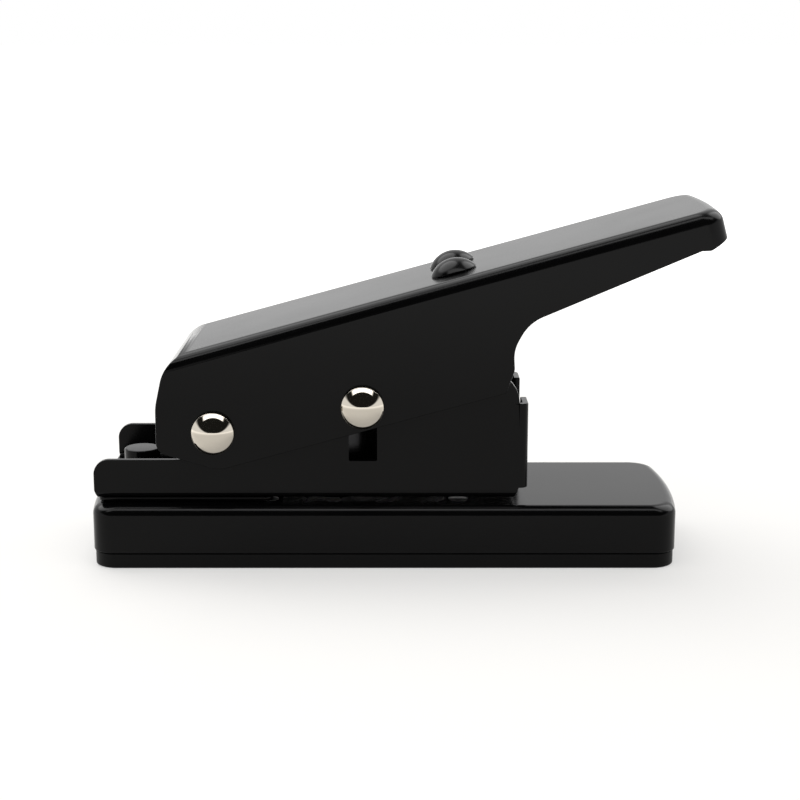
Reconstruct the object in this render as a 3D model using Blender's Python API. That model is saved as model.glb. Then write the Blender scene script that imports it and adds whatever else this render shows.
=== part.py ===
"""A desk punch that cuts guitar picks out of plastic cards.

A pressed base shell stands on a pull-off waste tray. A U-shaped channel is riveted on top of it over a
spacer plate, and the gap that the spacer leaves is the throat for the card. A pressed handle lever turns
on the rear pin and pushes the drive pin, which slides down two slots in the channel and takes the punch
through the die. Two springs between the channel floor and the lever lift it again.

The origin is the middle of the tray's flat underside. +X runs to the handle's free end, +Z is up.
"""

import math

import bmesh
import bpy
from mathutils import Matrix, Vector

for old in list(bpy.data.objects):
    bpy.data.objects.remove(old, do_unlink=True)

mm = 0.001

# Clearances and cutting
seat_gap = 0.2 * mm
running_gap = 0.3 * mm
overrun = 5.0 * mm
arc_step = math.radians(11)
round_segments = 32
small_round_segments = 20
level_turn = math.radians(90)

# Base shell
base_length = 139.3 * mm
base_side_margin = 0.45 * mm
base_height = 14.95 * mm
base_corner_radius = 6.2 * mm
base_end_bow = 1.9 * mm
shell_wall = 1.2 * mm
shell_edge_radius = 1.5 * mm
shell_inner_radius = 0.4 * mm

# Waste tray
tray_band_height = 3.6 * mm
tray_inset = 0.3 * mm
tray_floor = 1.5 * mm
tray_edge_radius = 0.6 * mm
tray_rim_wall = 1.3 * mm
tray_rim_height = 3.2 * mm

# The pick, and the punch and die that cut it
pick_length = 30.0 * mm
pick_width = 26.0 * mm
pick_corner_shares = ((0.55, 0.0, 0.11), (0.10, 0.42, 0.9), (-0.40, 0.545, 0.26), (-0.54, 0.0, 1.0))
die_clearance = 0.2 * mm
guide_clearance = 0.3 * mm
punch_height = 30.0 * mm
punch_rest_lift = 0.4 * mm
punch_chamfer = 0.8 * mm
die_margin = 4.0 * mm
die_flange_reach = 6.5 * mm
die_flange_side = 2.0 * mm
die_thickness = 3.2 * mm
die_corner_radius = 2.5 * mm
die_rivet_radius = 1.4 * mm
die_rivet_head_radius = 2.4 * mm
die_rivet_head_depth = 0.8 * mm
die_rivet_foot_radius = 2.5 * mm
die_rivet_foot_height = 0.9 * mm

# Channel, the folded bracket that carries the lever and guides the punch
throat_height = 1.25 * mm
channel_sheet = 1.5 * mm
channel_bend = 2.1 * mm
punch_side_room = 4.5 * mm
channel_rear_inset = 1.85 * mm
rear_wall_height = 9.4 * mm
front_wall_height = 30.2 * mm
rear_corner_radius = 5.0 * mm
front_corner_radius = 7.5 * mm
wall_ramp_start = 21.7 * mm
wall_ramp_run = 10.5 * mm
wall_ramp_radius = 4.0 * mm
front_undercut = 0.8 * mm
flange_width = 8.0 * mm
flange_bottom = 2.6 * mm
flange_top = 22.7 * mm
flange_root = 1.2 * mm
slot_bottom = 9.1 * mm
slot_corner_radius = 0.4 * mm

# Spacer plate
spacer_rear_inset = 0.5 * mm
spacer_setoff = 5.95 * mm
spacer_corner_radius = 2.0 * mm

# Pins, caps and washers
pin_radius = 3.0 * mm
pin_reach = 1.9 * mm
pin_chamfer = 0.4 * mm
rear_pin_setback = 28.4 * mm
rear_pin_height = 16.45 * mm
drive_pin_ahead = 34.45 * mm
drive_pin_rise = 6.07 * mm
cap_radius = 4.8 * mm
cap_height = 3.3 * mm
cap_rim = 0.5 * mm
washer_radius = 5.0 * mm
washer_thickness = 0.65 * mm

# Lever
lever_sheet = 1.5 * mm
lever_bend = 1.6 * mm
lever_inner_bend = 0.2 * mm
lever_tilt = math.radians(15.33)
lever_top = 19.4 * mm
lever_reach = 125.55 * mm
lever_end_bow = 0.8 * mm
lever_corner_radius = 6.5 * mm
lever_back_top = -5.8 * mm
lever_back_shoulder = -11.15 * mm
lever_back_shoulder_height = 9.25 * mm
lever_heel = -14.0 * mm
lever_heel_height = -1.0 * mm
lever_sole = -1.3 * mm
lever_sole_depth = 8.9 * mm
lever_front = 67.5 * mm
lever_front_corner = 70.75 * mm
lever_front_corner_depth = 4.2 * mm
lever_crook_low = 71.75 * mm
lever_crook_low_height = 0.45 * mm
lever_crook = 76.65 * mm
lever_crook_height = 5.53 * mm
handle_step_start = 118.2 * mm
handle_step_height = 11.08 * mm
handle_end_start = 120.3 * mm
handle_end_height = 10.6 * mm
handle_tip_height = 13.7 * mm
lever_back_radius = 9.2 * mm
lever_shoulder_radius = 14.0 * mm
lever_heel_radius = 3.0 * mm
lever_sole_radius = 7.0 * mm
lever_front_radius = 1.5 * mm
lever_front_corner_radius = 3.0 * mm
lever_crook_low_radius = 12.0 * mm
lever_crook_radius = 9.8 * mm
handle_step_radius = 1.0 * mm
handle_end_radius = 1.5 * mm
back_lip_length = 7.8 * mm
back_lip_radius = 5.5 * mm
back_lip_relief = 0.9 * mm
back_lip_relief_start = 4.5 * mm
drive_slot_play = 0.3 * mm

# Return springs and their posts
spring_room = 9.25 * mm
spring_front_room = 14.15 * mm
spring_lean = 4.3 * mm
spring_spread = 14.0 * mm
spring_wire = 1.1 * mm
spring_radius = 4.7 * mm
spring_turns = 9
spring_end_pitch = 1.7 * mm
spring_points_per_turn = 10
post_head_radius = 5.5 * mm
post_head_height = 3.0 * mm
post_shank_radius = 2.5 * mm
post_peg_radius = 3.2 * mm
post_peg_length = 7.0 * mm
boss_radius = 3.2 * mm
boss_height = 1.6 * mm

# Rear post and the rivets that hold the channel down
rear_post_setback = 8.7 * mm
rear_post_radius = 4.3 * mm
rear_post_height = 6.05 * mm
rear_post_edge = 0.4 * mm
rivet_die_gap = 2.35 * mm
rivet_side_room = 7.5 * mm
rivet_shank_radius = 2.0 * mm
rivet_head_radius = 3.6 * mm
rivet_head_height = 1.3 * mm
rivet_foot_radius = 3.4 * mm
rivet_foot_height = 1.0 * mm

# Places worked out from the sizes above
channel_width = pick_width + 2 * (punch_side_room + channel_sheet)
lever_width = channel_width + 2 * (washer_thickness + 2 * seat_gap + lever_sheet)
base_width = lever_width + 2 * base_side_margin
punch_front = rear_pin_setback + drive_pin_ahead + pick_length / 2
spring_setback = punch_front + spring_room
channel_length = spring_setback + spring_front_room
post_ahead = spring_setback - rear_pin_setback + spring_lean
land_length = pick_length + 2 * die_margin
land_width = pick_width + 2 * die_margin
base_rear = -base_length / 2
parting_height = tray_band_height + seat_gap
shell_ceiling = base_height - shell_wall
channel_bottom = base_height + throat_height
channel_floor = channel_bottom + channel_sheet
channel_rear = base_rear + channel_rear_inset
channel_half = channel_width / 2
wall_end = channel_length - channel_bend
lever_half = lever_width / 2
lever_inner_half = lever_half - lever_sheet
rear_pin_x = channel_rear + rear_pin_setback
rear_pin_z = channel_bottom + rear_pin_height
drive_pin_x = rear_pin_x + drive_pin_ahead
drive_pin_z = rear_pin_z + drive_pin_rise
die_rear = drive_pin_x - land_length / 2 - die_flange_reach
rivet_x = die_rear - rivet_die_gap - rivet_foot_radius
rivet_y = channel_half - channel_sheet - rivet_side_room
rear_post_x = channel_rear + rear_post_setback
punch_bottom = channel_bottom + punch_rest_lift


def material(name, color, roughness, metallic=0.0):
    made = bpy.data.materials.new(name)
    made.use_nodes = True
    shader = made.node_tree.nodes["Principled BSDF"]
    shader.inputs["Base Color"].default_value = (*color, 1.0)
    shader.inputs["Roughness"].default_value = roughness
    shader.inputs["Metallic"].default_value = metallic
    return made


black_paint = material("black_paint", (0.012, 0.012, 0.013), 0.3)
black_plastic = material("black_plastic", (0.015, 0.015, 0.016), 0.45)
black_nylon = material("black_nylon", (0.02, 0.02, 0.02), 0.5)
chrome = material("chrome", (0.66, 0.61, 0.53), 0.08, 1.0)
ground_steel = material("ground_steel", (0.45, 0.45, 0.46), 0.25, 1.0)
plated_steel = material("plated_steel", (0.55, 0.55, 0.55), 0.35, 1.0)
spring_steel = material("spring_steel", (0.35, 0.35, 0.36), 0.3, 1.0)


def rounded_outline(corners):
    """Points of a closed outline whose corners, each (x, y, radius), are rounded off."""
    points = []
    count = len(corners)
    for index, (x, y, radius) in enumerate(corners):
        here = Vector((x, y))
        before = Vector(corners[index - 1][:2]) - here
        after = Vector(corners[(index + 1) % count][:2]) - here
        opening = before.angle(after)
        turn = math.pi - opening
        if radius == 0 or turn < arc_step / 4:
            points.append(here)
            continue
        tangent = min(radius * math.tan(turn / 2), before.length * 0.49, after.length * 0.49)
        radius = tangent / math.tan(turn / 2)
        middle = (before.normalized() + after.normalized()).normalized()
        centre = here + middle * (radius / math.cos(turn / 2))
        start = here + before.normalized() * tangent - centre
        side = 1 if before.cross(after) < 0 else -1
        steps = max(1, math.ceil(turn / arc_step))
        for step in range(steps + 1):
            points.append(centre + Matrix.Rotation(side * turn * step / steps, 2) @ start)
    return [(point.x, point.y) for point in points]


def bowed_plan(low, high, width, radius, low_bow, high_bow, steps=8):
    """A rectangle seen from above, with round corners and ends that bow outwards."""
    half = width / 2
    low_flat = low + low_bow
    high_flat = high - high_bow
    shape = rounded_outline(
        [
            (low_flat, -half, radius),
            (high_flat, -half, radius),
            *[(high_flat, -half + width * step / steps, 0) for step in range(2, steps - 1)],
            (high_flat, half, radius),
            (low_flat, half, radius),
            *[(low_flat, half - width * step / steps, 0) for step in range(2, steps - 1)],
        ]
    )
    middle = (low + high) / 2
    bowed = []
    for x, y in shape:
        share = 1 - (y / half) ** 2
        beyond = x - high_flat + radius if x > middle else low_flat + radius - x
        if beyond > 0:
            x += share * (high_bow if x > middle else -low_bow)
        bowed.append((x, y))
    return bowed


def pick_outline(clearance=0.0):
    """The pick's outline about its middle, grown by a clearance, with its tip towards +X."""
    upper = [(x * pick_length, y * pick_length, radius * pick_length) for x, y, radius in pick_corner_shares]
    lower = [(x, -y, radius) for x, y, radius in reversed(upper[1:-1])]
    points = rounded_outline(upper + lower)
    low_x = min(x for x, y in points)
    high_x = max(x for x, y in points)
    high_y = max(y for x, y in points)
    along = (pick_length + 2 * clearance) / (high_x - low_x)
    across = (pick_width + 2 * clearance) / (2 * high_y)
    return [((x - (low_x + high_x) / 2) * along, y * across) for x, y in points]


def loops_to_mesh(loops, closed=False):
    """Joins a run of equal loops into one closed skin, with a face on the first and last loop."""
    skin = bmesh.new()
    rings = [[skin.verts.new(point) for point in loop] for loop in loops]
    pairs = list(zip(rings, rings[1:] + rings[:1])) if closed else list(zip(rings, rings[1:]))
    for ring, other in pairs:
        count = max(len(ring), len(other))
        for index in range(count):
            following = (index + 1) % count
            if len(ring) == 1:
                skin.faces.new((ring[0], other[index], other[following]))
            elif len(other) == 1:
                skin.faces.new((ring[index], other[0], ring[following]))
            else:
                skin.faces.new((ring[index], other[index], other[following], ring[following]))
    if not closed:
        for ring in (rings[0], rings[-1]):
            if len(ring) > 2:
                skin.faces.new(ring)
    bmesh.ops.recalc_face_normals(skin, faces=skin.faces)
    return skin


def place(name, skin, look, location=(0, 0, 0), rotation=(0, 0, 0), parent=None, sharp=35):
    """Makes the named object of a sub-part from its skin."""
    mesh = bpy.data.meshes.new(name)
    skin.to_mesh(mesh)
    skin.free()
    mesh.shade_smooth()
    mesh.set_sharp_from_angle(angle=math.radians(sharp))
    made = bpy.data.objects.new(name, mesh)
    made.location = location
    made.rotation_euler = rotation
    made.parent = parent
    bpy.context.scene.collection.objects.link(made)
    if look:
        mesh.materials.append(look)
    return made


def cutter(name, skin, location=(0, 0, 0), rotation=(0, 0, 0), parent=None):
    made = place(name, skin, None, location, rotation, parent)
    made.hide_render = True
    made.display_type = "WIRE"
    return made


def combine(target, tool, operation="DIFFERENCE"):
    change = target.modifiers.new(tool.name, "BOOLEAN")
    change.object = tool
    change.operation = operation
    change.solver = "EXACT"


def pivot(name, location, rotation=(0, 0, 0), parent=None):
    made = bpy.data.objects.new(name, None)
    made.location = location
    made.rotation_euler = rotation
    made.parent = parent
    bpy.context.scene.collection.objects.link(made)
    return made


def prism_across(points, low, high):
    """A side outline of (x, z) points, extruded from y = low to y = high."""
    return loops_to_mesh([[(x, low, z) for x, z in points], [(x, high, z) for x, z in points]])


def prism_upright(points, low, high):
    """A plan outline of (x, y) points, extruded from z = low to z = high."""
    return loops_to_mesh([[(x, y, low) for x, y in points], [(x, y, high) for x, y in points]])


def turned(profile, closed=False, segments=round_segments):
    """A profile of (radius, height) points turned about the Z axis."""
    loops = []
    for radius, height in profile:
        if radius == 0:
            loops.append([(0, 0, height)])
            continue
        loops.append(
            [
                (
                    radius * math.cos(math.tau * step / segments),
                    radius * math.sin(math.tau * step / segments),
                    height,
                )
                for step in range(segments)
            ]
        )
    return loops_to_mesh(loops, closed)


def dome(radius, height, foot, steps=6):
    """Profile points of a dome of the given radius and height that stands on z = foot."""
    sphere = (radius**2 + height**2) / (2 * height)
    spread = math.asin(radius / sphere)
    points = []
    for step in range(steps):
        angle = spread * (1 - step / steps)
        points.append((sphere * math.sin(angle), foot + height - sphere * (1 - math.cos(angle))))
    return points + [(0, foot + height)]


def shell_levels(plan, levels):
    """Loops of a plan outline at (height, inset) levels."""
    return [[(x, y, height) for x, y in plan(inset)] for height, inset in levels]


def edge_round(radius, top, inset, steps=3):
    """Levels that round an upper edge off, from its foot to the flat top."""
    quarter = math.pi / 2
    return [
        (
            top - radius + radius * math.sin(quarter * step / steps),
            inset + radius - radius * math.cos(quarter * step / steps),
        )
        for step in range(steps + 1)
    ]


# Base shell


def base_plan(inset):
    return bowed_plan(
        base_rear + inset,
        -base_rear - inset,
        base_width - 2 * inset,
        base_corner_radius - inset,
        base_end_bow,
        base_end_bow,
    )


shell_inside = edge_round(shell_inner_radius, shell_ceiling, shell_wall, steps=1)
shell_outside = edge_round(shell_edge_radius, base_height, 0)
shell_profile = [*reversed(shell_inside), (parting_height, shell_wall), (parting_height, 0), *shell_outside]
base_shell = place("base_shell", loops_to_mesh(shell_levels(base_plan, shell_profile)), black_paint)

# Waste tray: a shallow pan whose rim stands inside the shell

rim_inset = shell_wall + running_gap
tray_profile = [
    (tray_floor, rim_inset + tray_rim_wall),
    (parting_height + tray_rim_height, rim_inset + tray_rim_wall),
    (parting_height + tray_rim_height, rim_inset),
    (tray_band_height, rim_inset),
    (tray_band_height, tray_inset),
    (tray_edge_radius, tray_inset),
    (0, tray_inset + tray_edge_radius),
]
waste_tray = place("waste_tray", loops_to_mesh(shell_levels(base_plan, tray_profile)), black_plastic)

# Die plate: its raised land fills a window in the shell, its flange is riveted under the shell's top

die_top = shell_ceiling - seat_gap


def rectangle(length, width, radius):
    return rounded_outline(
        [
            (-length / 2, -width / 2, radius),
            (length / 2, -width / 2, radius),
            (length / 2, width / 2, radius),
            (-length / 2, width / 2, radius),
        ]
    )


die_flange = rectangle(
    land_length + 2 * die_flange_reach, land_width + 2 * die_flange_side, die_corner_radius
)
die_plate = place(
    "die_plate",
    prism_upright(die_flange, die_top - die_thickness, die_top),
    ground_steel,
    (drive_pin_x, 0, 0),
)
land_points = rectangle(land_length, land_width, die_corner_radius)
die_land = cutter(
    "die_land_form",
    prism_upright(land_points, die_top - die_thickness / 2, base_height),
    (drive_pin_x, 0, 0),
)
combine(die_plate, die_land, "UNION")
die_hole = cutter(
    "die_hole_cut",
    prism_upright(pick_outline(die_clearance), shell_ceiling - die_thickness - overrun, base_height + overrun),
    (drive_pin_x, 0, 0),
)
combine(die_plate, die_hole)
window_points = rectangle(
    land_length + 2 * running_gap, land_width + 2 * running_gap, die_corner_radius + running_gap
)
window = cutter(
    "die_window_cut",
    prism_upright(window_points, shell_ceiling - overrun, base_height + overrun),
    (drive_pin_x, 0, 0),
)
combine(base_shell, window)

# Die rivets: flush heads above, flat feet below

die_rivet_x = land_length / 2 + die_flange_reach / 2
die_rivet_y = land_width / 2 - die_rivet_foot_radius - running_gap
die_rivet_foot = die_top - die_thickness - seat_gap
die_rivet_profile = [
    (0, base_height),
    (die_rivet_head_radius, base_height),
    (die_rivet_radius, base_height - die_rivet_head_depth),
    (die_rivet_radius, die_rivet_foot),
    (die_rivet_foot_radius, die_rivet_foot),
    (die_rivet_foot_radius, die_rivet_foot - die_rivet_foot_height),
    (0, die_rivet_foot - die_rivet_foot_height),
]
die_rivet_hole = [
    (0, base_height + overrun),
    (die_rivet_head_radius + running_gap + overrun, base_height + overrun),
    (die_rivet_radius + running_gap, base_height - die_rivet_head_depth - running_gap),
    (die_rivet_radius + running_gap, die_rivet_foot - overrun),
    (0, die_rivet_foot - overrun),
]
corner_signs = ((-1, -1), (1, -1), (1, 1), (-1, 1))
for number, (side_x, side_y) in enumerate(corner_signs, start=1):
    spot = (drive_pin_x + side_x * die_rivet_x, side_y * die_rivet_y, 0)
    rivet = turned(die_rivet_profile, segments=small_round_segments)
    place(f"die_rivet_{number}", rivet, plated_steel, spot)
    hole = cutter(f"die_rivet_hole_{number}", turned(die_rivet_hole, segments=small_round_segments), spot)
    combine(base_shell, hole)
    combine(die_plate, hole)

# Spacer plate between the shell and the channel

spacer_rear = channel_rear + spacer_rear_inset
spacer_front = drive_pin_x - pick_length / 2 - guide_clearance - spacer_setoff
spacer_width = channel_width - 2 * channel_bend
spacer_points = rectangle(spacer_front - spacer_rear, spacer_width, spacer_corner_radius)
spacer_plate = place(
    "spacer_plate",
    prism_upright(spacer_points, base_height + seat_gap, channel_bottom - seat_gap),
    black_paint,
    ((spacer_rear + spacer_front) / 2, 0, 0),
)

# Channel: a folded sheet, its U section cut by the side outline, with two inward flanges at the front

section_low = channel_bottom
section_high = channel_bottom + front_wall_height + overrun
section_inner = channel_bend - channel_sheet
section = rounded_outline(
    [
        (-channel_half, section_high, 0),
        (-channel_half, section_low, channel_bend),
        (channel_half, section_low, channel_bend),
        (channel_half, section_high, 0),
        (channel_half - channel_sheet, section_high, 0),
        (channel_half - channel_sheet, channel_floor, section_inner),
        (-channel_half + channel_sheet, channel_floor, section_inner),
        (-channel_half + channel_sheet, section_high, 0),
    ]
)
channel_ends = (channel_rear - overrun, channel_rear + channel_length + overrun)
channel = place(
    "channel", loops_to_mesh([[(end, y, z) for y, z in section] for end in channel_ends]), black_paint
)
channel_side = rounded_outline(
    [
        (0, -overrun, 0),
        (0, rear_wall_height, rear_corner_radius),
        (wall_ramp_start, rear_wall_height, wall_ramp_radius),
        (wall_ramp_start + wall_ramp_run, front_wall_height, wall_ramp_radius),
        (wall_end, front_wall_height, front_corner_radius),
        (wall_end, flange_bottom, 0),
        (wall_end - front_undercut, 0, 0),
        (wall_end - front_undercut, -overrun, 0),
    ]
)
channel_outline = cutter(
    "channel_outline_form",
    prism_across(
        [(channel_rear + x, channel_bottom + z) for x, z in channel_side],
        -channel_half - overrun,
        channel_half + overrun,
    ),
)
combine(channel, channel_outline, "INTERSECT")

flange_face = channel_rear + channel_length
flange_points = rounded_outline(
    [
        (channel_rear + wall_end - flange_root, 0, 0),
        (flange_face, 0, channel_bend),
        (flange_face, flange_width, 0),
        (flange_face - channel_sheet, flange_width, 0),
        (flange_face - channel_sheet, channel_sheet, section_inner),
        (channel_rear + wall_end - flange_root, channel_sheet, 0),
    ]
)
for side_name, side in (("near", -1), ("far", 1)):
    front_flange = cutter(
        f"front_flange_{side_name}_form",
        prism_upright(
            [(x, side * (channel_half - y)) for x, y in flange_points],
            channel_bottom + flange_bottom,
            channel_bottom + flange_top,
        ),
    )
    combine(channel, front_flange, "UNION")

guide_hole = cutter(
    "guide_hole_cut",
    prism_upright(pick_outline(guide_clearance), channel_bottom - overrun, channel_floor + overrun / 2),
    (drive_pin_x, 0, 0),
)
combine(channel, guide_hole)

slot_half = pin_radius + running_gap
slot_top = drive_pin_z + slot_half
slot_points = rounded_outline(
    [
        (-slot_half, channel_bottom + slot_bottom, slot_corner_radius),
        (slot_half, channel_bottom + slot_bottom, slot_corner_radius),
        (slot_half, slot_top, slot_half),
        (-slot_half, slot_top, slot_half),
    ]
)
drive_slot = cutter(
    "drive_slot_cut",
    prism_across(
        [(drive_pin_x + x, z) for x, z in slot_points], -channel_half - overrun, channel_half + overrun
    ),
)
combine(channel, drive_slot)

pin_hole = [
    (0, -lever_half - overrun),
    (pin_radius + running_gap, -lever_half - overrun),
    (pin_radius + running_gap, lever_half + overrun),
    (0, lever_half + overrun),
]
rear_pin_hole = cutter(
    "rear_pin_hole_cut", turned(pin_hole), (rear_pin_x, 0, rear_pin_z), (level_turn, 0, 0)
)
combine(channel, rear_pin_hole)

# Rear post and channel rivets: turned pieces that clamp channel, spacer and shell together

post_foot = shell_ceiling - seat_gap
rear_post_top = channel_floor + seat_gap + rear_post_height
rear_post_profile = [
    (0, rear_post_top),
    (rear_post_radius - rear_post_edge, rear_post_top),
    (rear_post_radius, rear_post_top - rear_post_edge),
    (rear_post_radius, channel_floor + seat_gap),
    (rivet_shank_radius, channel_floor + seat_gap),
    (rivet_shank_radius, post_foot),
    (rivet_foot_radius, post_foot),
    (rivet_foot_radius, post_foot - rivet_foot_height),
    (0, post_foot - rivet_foot_height),
]
rivet_dome = dome(rivet_head_radius, rivet_head_height, channel_floor + seat_gap, steps=3)
rivet_profile = [*reversed(rivet_dome), *rear_post_profile[4:]]
shank_hole = [
    (0, post_foot - overrun),
    (rivet_shank_radius + running_gap, post_foot - overrun),
    (rivet_shank_radius + running_gap, channel_floor + overrun),
    (0, channel_floor + overrun),
]
held_down = [
    ("rear_post", rear_post_profile, round_segments, rear_post_x, 0),
    ("channel_rivet_1", rivet_profile, small_round_segments, rivet_x, -rivet_y),
    ("channel_rivet_2", rivet_profile, small_round_segments, rivet_x, rivet_y),
]
for name, profile, segments, along, across in held_down:
    spot = (along, across, 0)
    place(name, turned(profile, segments=segments), black_paint, spot)
    hole = cutter(f"{name}_hole_cut", turned(shank_hole, segments=small_round_segments), spot)
    for pierced in (channel, spacer_plate, base_shell):
        combine(pierced, hole)

# Spring bosses pressed up from the channel floor

spring_foot_x = channel_rear + spring_setback
boss_profile = [
    (0, channel_bottom + channel_sheet / 2),
    (boss_radius, channel_bottom + channel_sheet / 2),
    (boss_radius, channel_floor + boss_height),
    (0, channel_floor + boss_height),
]
for side_name, side in (("near", -1), ("far", 1)):
    boss = cutter(
        f"spring_boss_{side_name}_form",
        turned(boss_profile, segments=small_round_segments),
        (spring_foot_x, side * spring_spread / 2, 0),
    )
    combine(channel, boss, "UNION")

# Lever: modelled level about the rear pin, then tilted up to its rest

lever_pivot = pivot("lever_pivot", (rear_pin_x, 0, rear_pin_z), (0, -lever_tilt, 0))
lever_end = lever_reach + overrun
lever_side = rounded_outline(
    [
        (lever_back_top, lever_top, lever_back_radius),
        (lever_back_shoulder, lever_back_shoulder_height, lever_shoulder_radius),
        (lever_heel, lever_heel_height, lever_heel_radius),
        (lever_sole, -lever_sole_depth, lever_sole_radius),
        (lever_front, -lever_sole_depth, lever_front_radius),
        (lever_front_corner, -lever_front_corner_depth, lever_front_corner_radius),
        (lever_crook_low, lever_crook_low_height, lever_crook_low_radius),
        (lever_crook, lever_crook_height, lever_crook_radius),
        (handle_step_start, handle_step_height, handle_step_radius),
        (handle_end_start, handle_end_height, handle_end_radius),
        (lever_end, handle_tip_height, 0),
        (lever_end, lever_top, 0),
    ]
)


def lever_plan(inset):
    return bowed_plan(
        lever_heel - overrun,
        lever_reach - inset,
        lever_width - 2 * inset,
        lever_corner_radius - inset,
        0,
        lever_end_bow,
    )


lever_bottom = -lever_sole_depth - overrun
lever_levels = [(lever_bottom, 0), *edge_round(lever_bend, lever_top, 0)]
lever = place(
    "lever", loops_to_mesh(shell_levels(lever_plan, lever_levels)), black_paint, parent=lever_pivot
)
lever_outline = cutter(
    "lever_outline_form",
    prism_across(lever_side, -lever_half - overrun, lever_half + overrun),
    parent=lever_pivot,
)
combine(lever, lever_outline, "INTERSECT")

# The space inside the lever ends at the back in a short lip that is folded down between its sides
back_line = Vector((lever_back_shoulder - lever_back_top, lever_back_shoulder_height - lever_top)).normalized()
back_inward = Vector((-back_line.y, back_line.x))
ceiling = lever_top - lever_sheet
back_top = Vector((lever_back_top, lever_top))
lip_inner = back_top + back_line * back_lip_length + back_inward * lever_sheet
lip_outer = lip_inner - back_inward * (lever_sheet + overrun)
inner_corner = lip_inner - back_line * ((lip_inner.y - ceiling) / back_line.y)
lever_back = lever_heel - 2 * overrun
inside_points = rounded_outline(
    [
        (lever_back, lever_bottom - overrun, 0),
        (lever_end, lever_bottom - overrun, 0),
        (lever_end, lever_top + overrun, 0),
        (inner_corner.x + 4 * overrun, lever_top + overrun, 0),
        (inner_corner.x + 4 * overrun, ceiling + running_gap, 0),
        (inner_corner.x, inner_corner.y, back_lip_radius),
        (lip_inner.x, lip_inner.y, 0),
        (lip_outer.x, lip_outer.y, 0),
        (lever_back, lip_outer.y, 0),
    ]
)
inside_round = edge_round(lever_inner_bend, ceiling, lever_sheet, steps=1)
inside_levels = [(lever_bottom - overrun, lever_sheet), *inside_round]
lever_inside = cutter(
    "lever_inside_cut", loops_to_mesh(shell_levels(lever_plan, inside_levels)), parent=lever_pivot
)
lever_inside_outline = cutter(
    "lever_inside_form",
    prism_across(inside_points, -lever_half - overrun, lever_half + overrun),
    parent=lever_pivot,
)
combine(lever_inside, lever_inside_outline, "INTERSECT")
combine(lever, lever_inside)

# Narrow slits part the lip from the lever's sides below the fold
lip_slit_points = []
for along, inward in (
    (back_lip_relief_start, lever_sheet + overrun),
    (back_lip_length + overrun, lever_sheet + overrun),
    (back_lip_length + overrun, -overrun),
    (back_lip_relief_start, -overrun),
):
    corner = back_top + back_line * along + back_inward * inward
    lip_slit_points.append((corner.x, corner.y))
for side_name, side in (("near", -1), ("far", 1)):
    slit_edges = sorted((side * lever_inner_half, side * (lever_inner_half - back_lip_relief)))
    slit = cutter(f"lip_slit_{side_name}_cut", prism_across(lip_slit_points, *slit_edges), parent=lever_pivot)
    combine(lever, slit)

lever_pin_hole = cutter("lever_pin_hole_cut", turned(pin_hole), (0, 0, 0), (level_turn, 0, 0), lever_pivot)
combine(lever, lever_pin_hole)

# The drive pin's hole in the lever is drawn out along the arm, because the pin goes straight down
drive_arm_low = drive_pin_ahead
drive_arm_rest = math.hypot(drive_pin_ahead, drive_pin_rise)
drive_angle = math.atan2(drive_pin_rise, drive_pin_ahead) - lever_tilt
oblong_half = pin_radius + running_gap
oblong = rounded_outline(
    [
        (drive_arm_low - oblong_half - drive_slot_play, -oblong_half, oblong_half),
        (drive_arm_rest + oblong_half + drive_slot_play, -oblong_half, oblong_half),
        (drive_arm_rest + oblong_half + drive_slot_play, oblong_half, oblong_half),
        (drive_arm_low - oblong_half - drive_slot_play, oblong_half, oblong_half),
    ]
)
lever_drive_hole = cutter(
    "lever_drive_hole_cut",
    prism_across(oblong, -lever_half - overrun, lever_half + overrun),
    rotation=(0, -drive_angle, 0),
    parent=lever_pivot,
)
combine(lever, lever_drive_hole)

# Spring posts: a dome on the lever's top, a shank through it and a peg for the spring below

post_profile = [
    *reversed(dome(post_head_radius, post_head_height, lever_top + seat_gap)),
    (post_shank_radius, lever_top + seat_gap),
    (post_shank_radius, ceiling - seat_gap),
    (post_peg_radius, ceiling - seat_gap),
    (post_peg_radius, ceiling - seat_gap - post_peg_length),
    (0, ceiling - seat_gap - post_peg_length),
]
post_hole = [
    (0, ceiling - overrun),
    (post_shank_radius + running_gap, ceiling - overrun),
    (post_shank_radius + running_gap, lever_top + overrun),
    (0, lever_top + overrun),
]
for side_name, side in (("near", -1), ("far", 1)):
    spot = (post_ahead, side * spring_spread / 2, 0)
    place(f"spring_post_{side_name}", turned(post_profile), black_paint, spot, parent=lever_pivot)
    post_bore = turned(post_hole, segments=small_round_segments)
    hole = cutter(f"spring_post_hole_{side_name}", post_bore, spot, parent=lever_pivot)
    combine(lever, hole)

# Return springs: helixes whose middle line bends from the level floor to the tilted lever

spring_low = Vector((spring_foot_x, channel_floor + seat_gap + spring_wire / 2))
lever_normal = Vector((-math.sin(lever_tilt), math.cos(lever_tilt)))
lever_along = Vector((math.cos(lever_tilt), math.sin(lever_tilt)))
spring_seat = ceiling - seat_gap - spring_wire / 2
spring_high = Vector((rear_pin_x, rear_pin_z)) + lever_along * post_ahead + lever_normal * spring_seat
spring_rise = (spring_high - spring_low).length
low_pull = Vector((0, spring_rise))
high_pull = lever_normal * spring_rise


def spring_middle(share):
    """Point and direction of the spring's middle line, in the X and Z plane."""
    keep = 1 - share
    point = (
        spring_low * (keep**2 * (1 + 2 * share))
        + low_pull * (share * keep**2)
        + spring_high * (share**2 * (3 - 2 * share))
        - high_pull * (share**2 * keep)
    )
    slope = (
        (spring_high - spring_low) * (6 * share * keep)
        + low_pull * (keep * (1 - 3 * share))
        + high_pull * (share * (3 * share - 2))
    )
    return point, slope.normalized()


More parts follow.
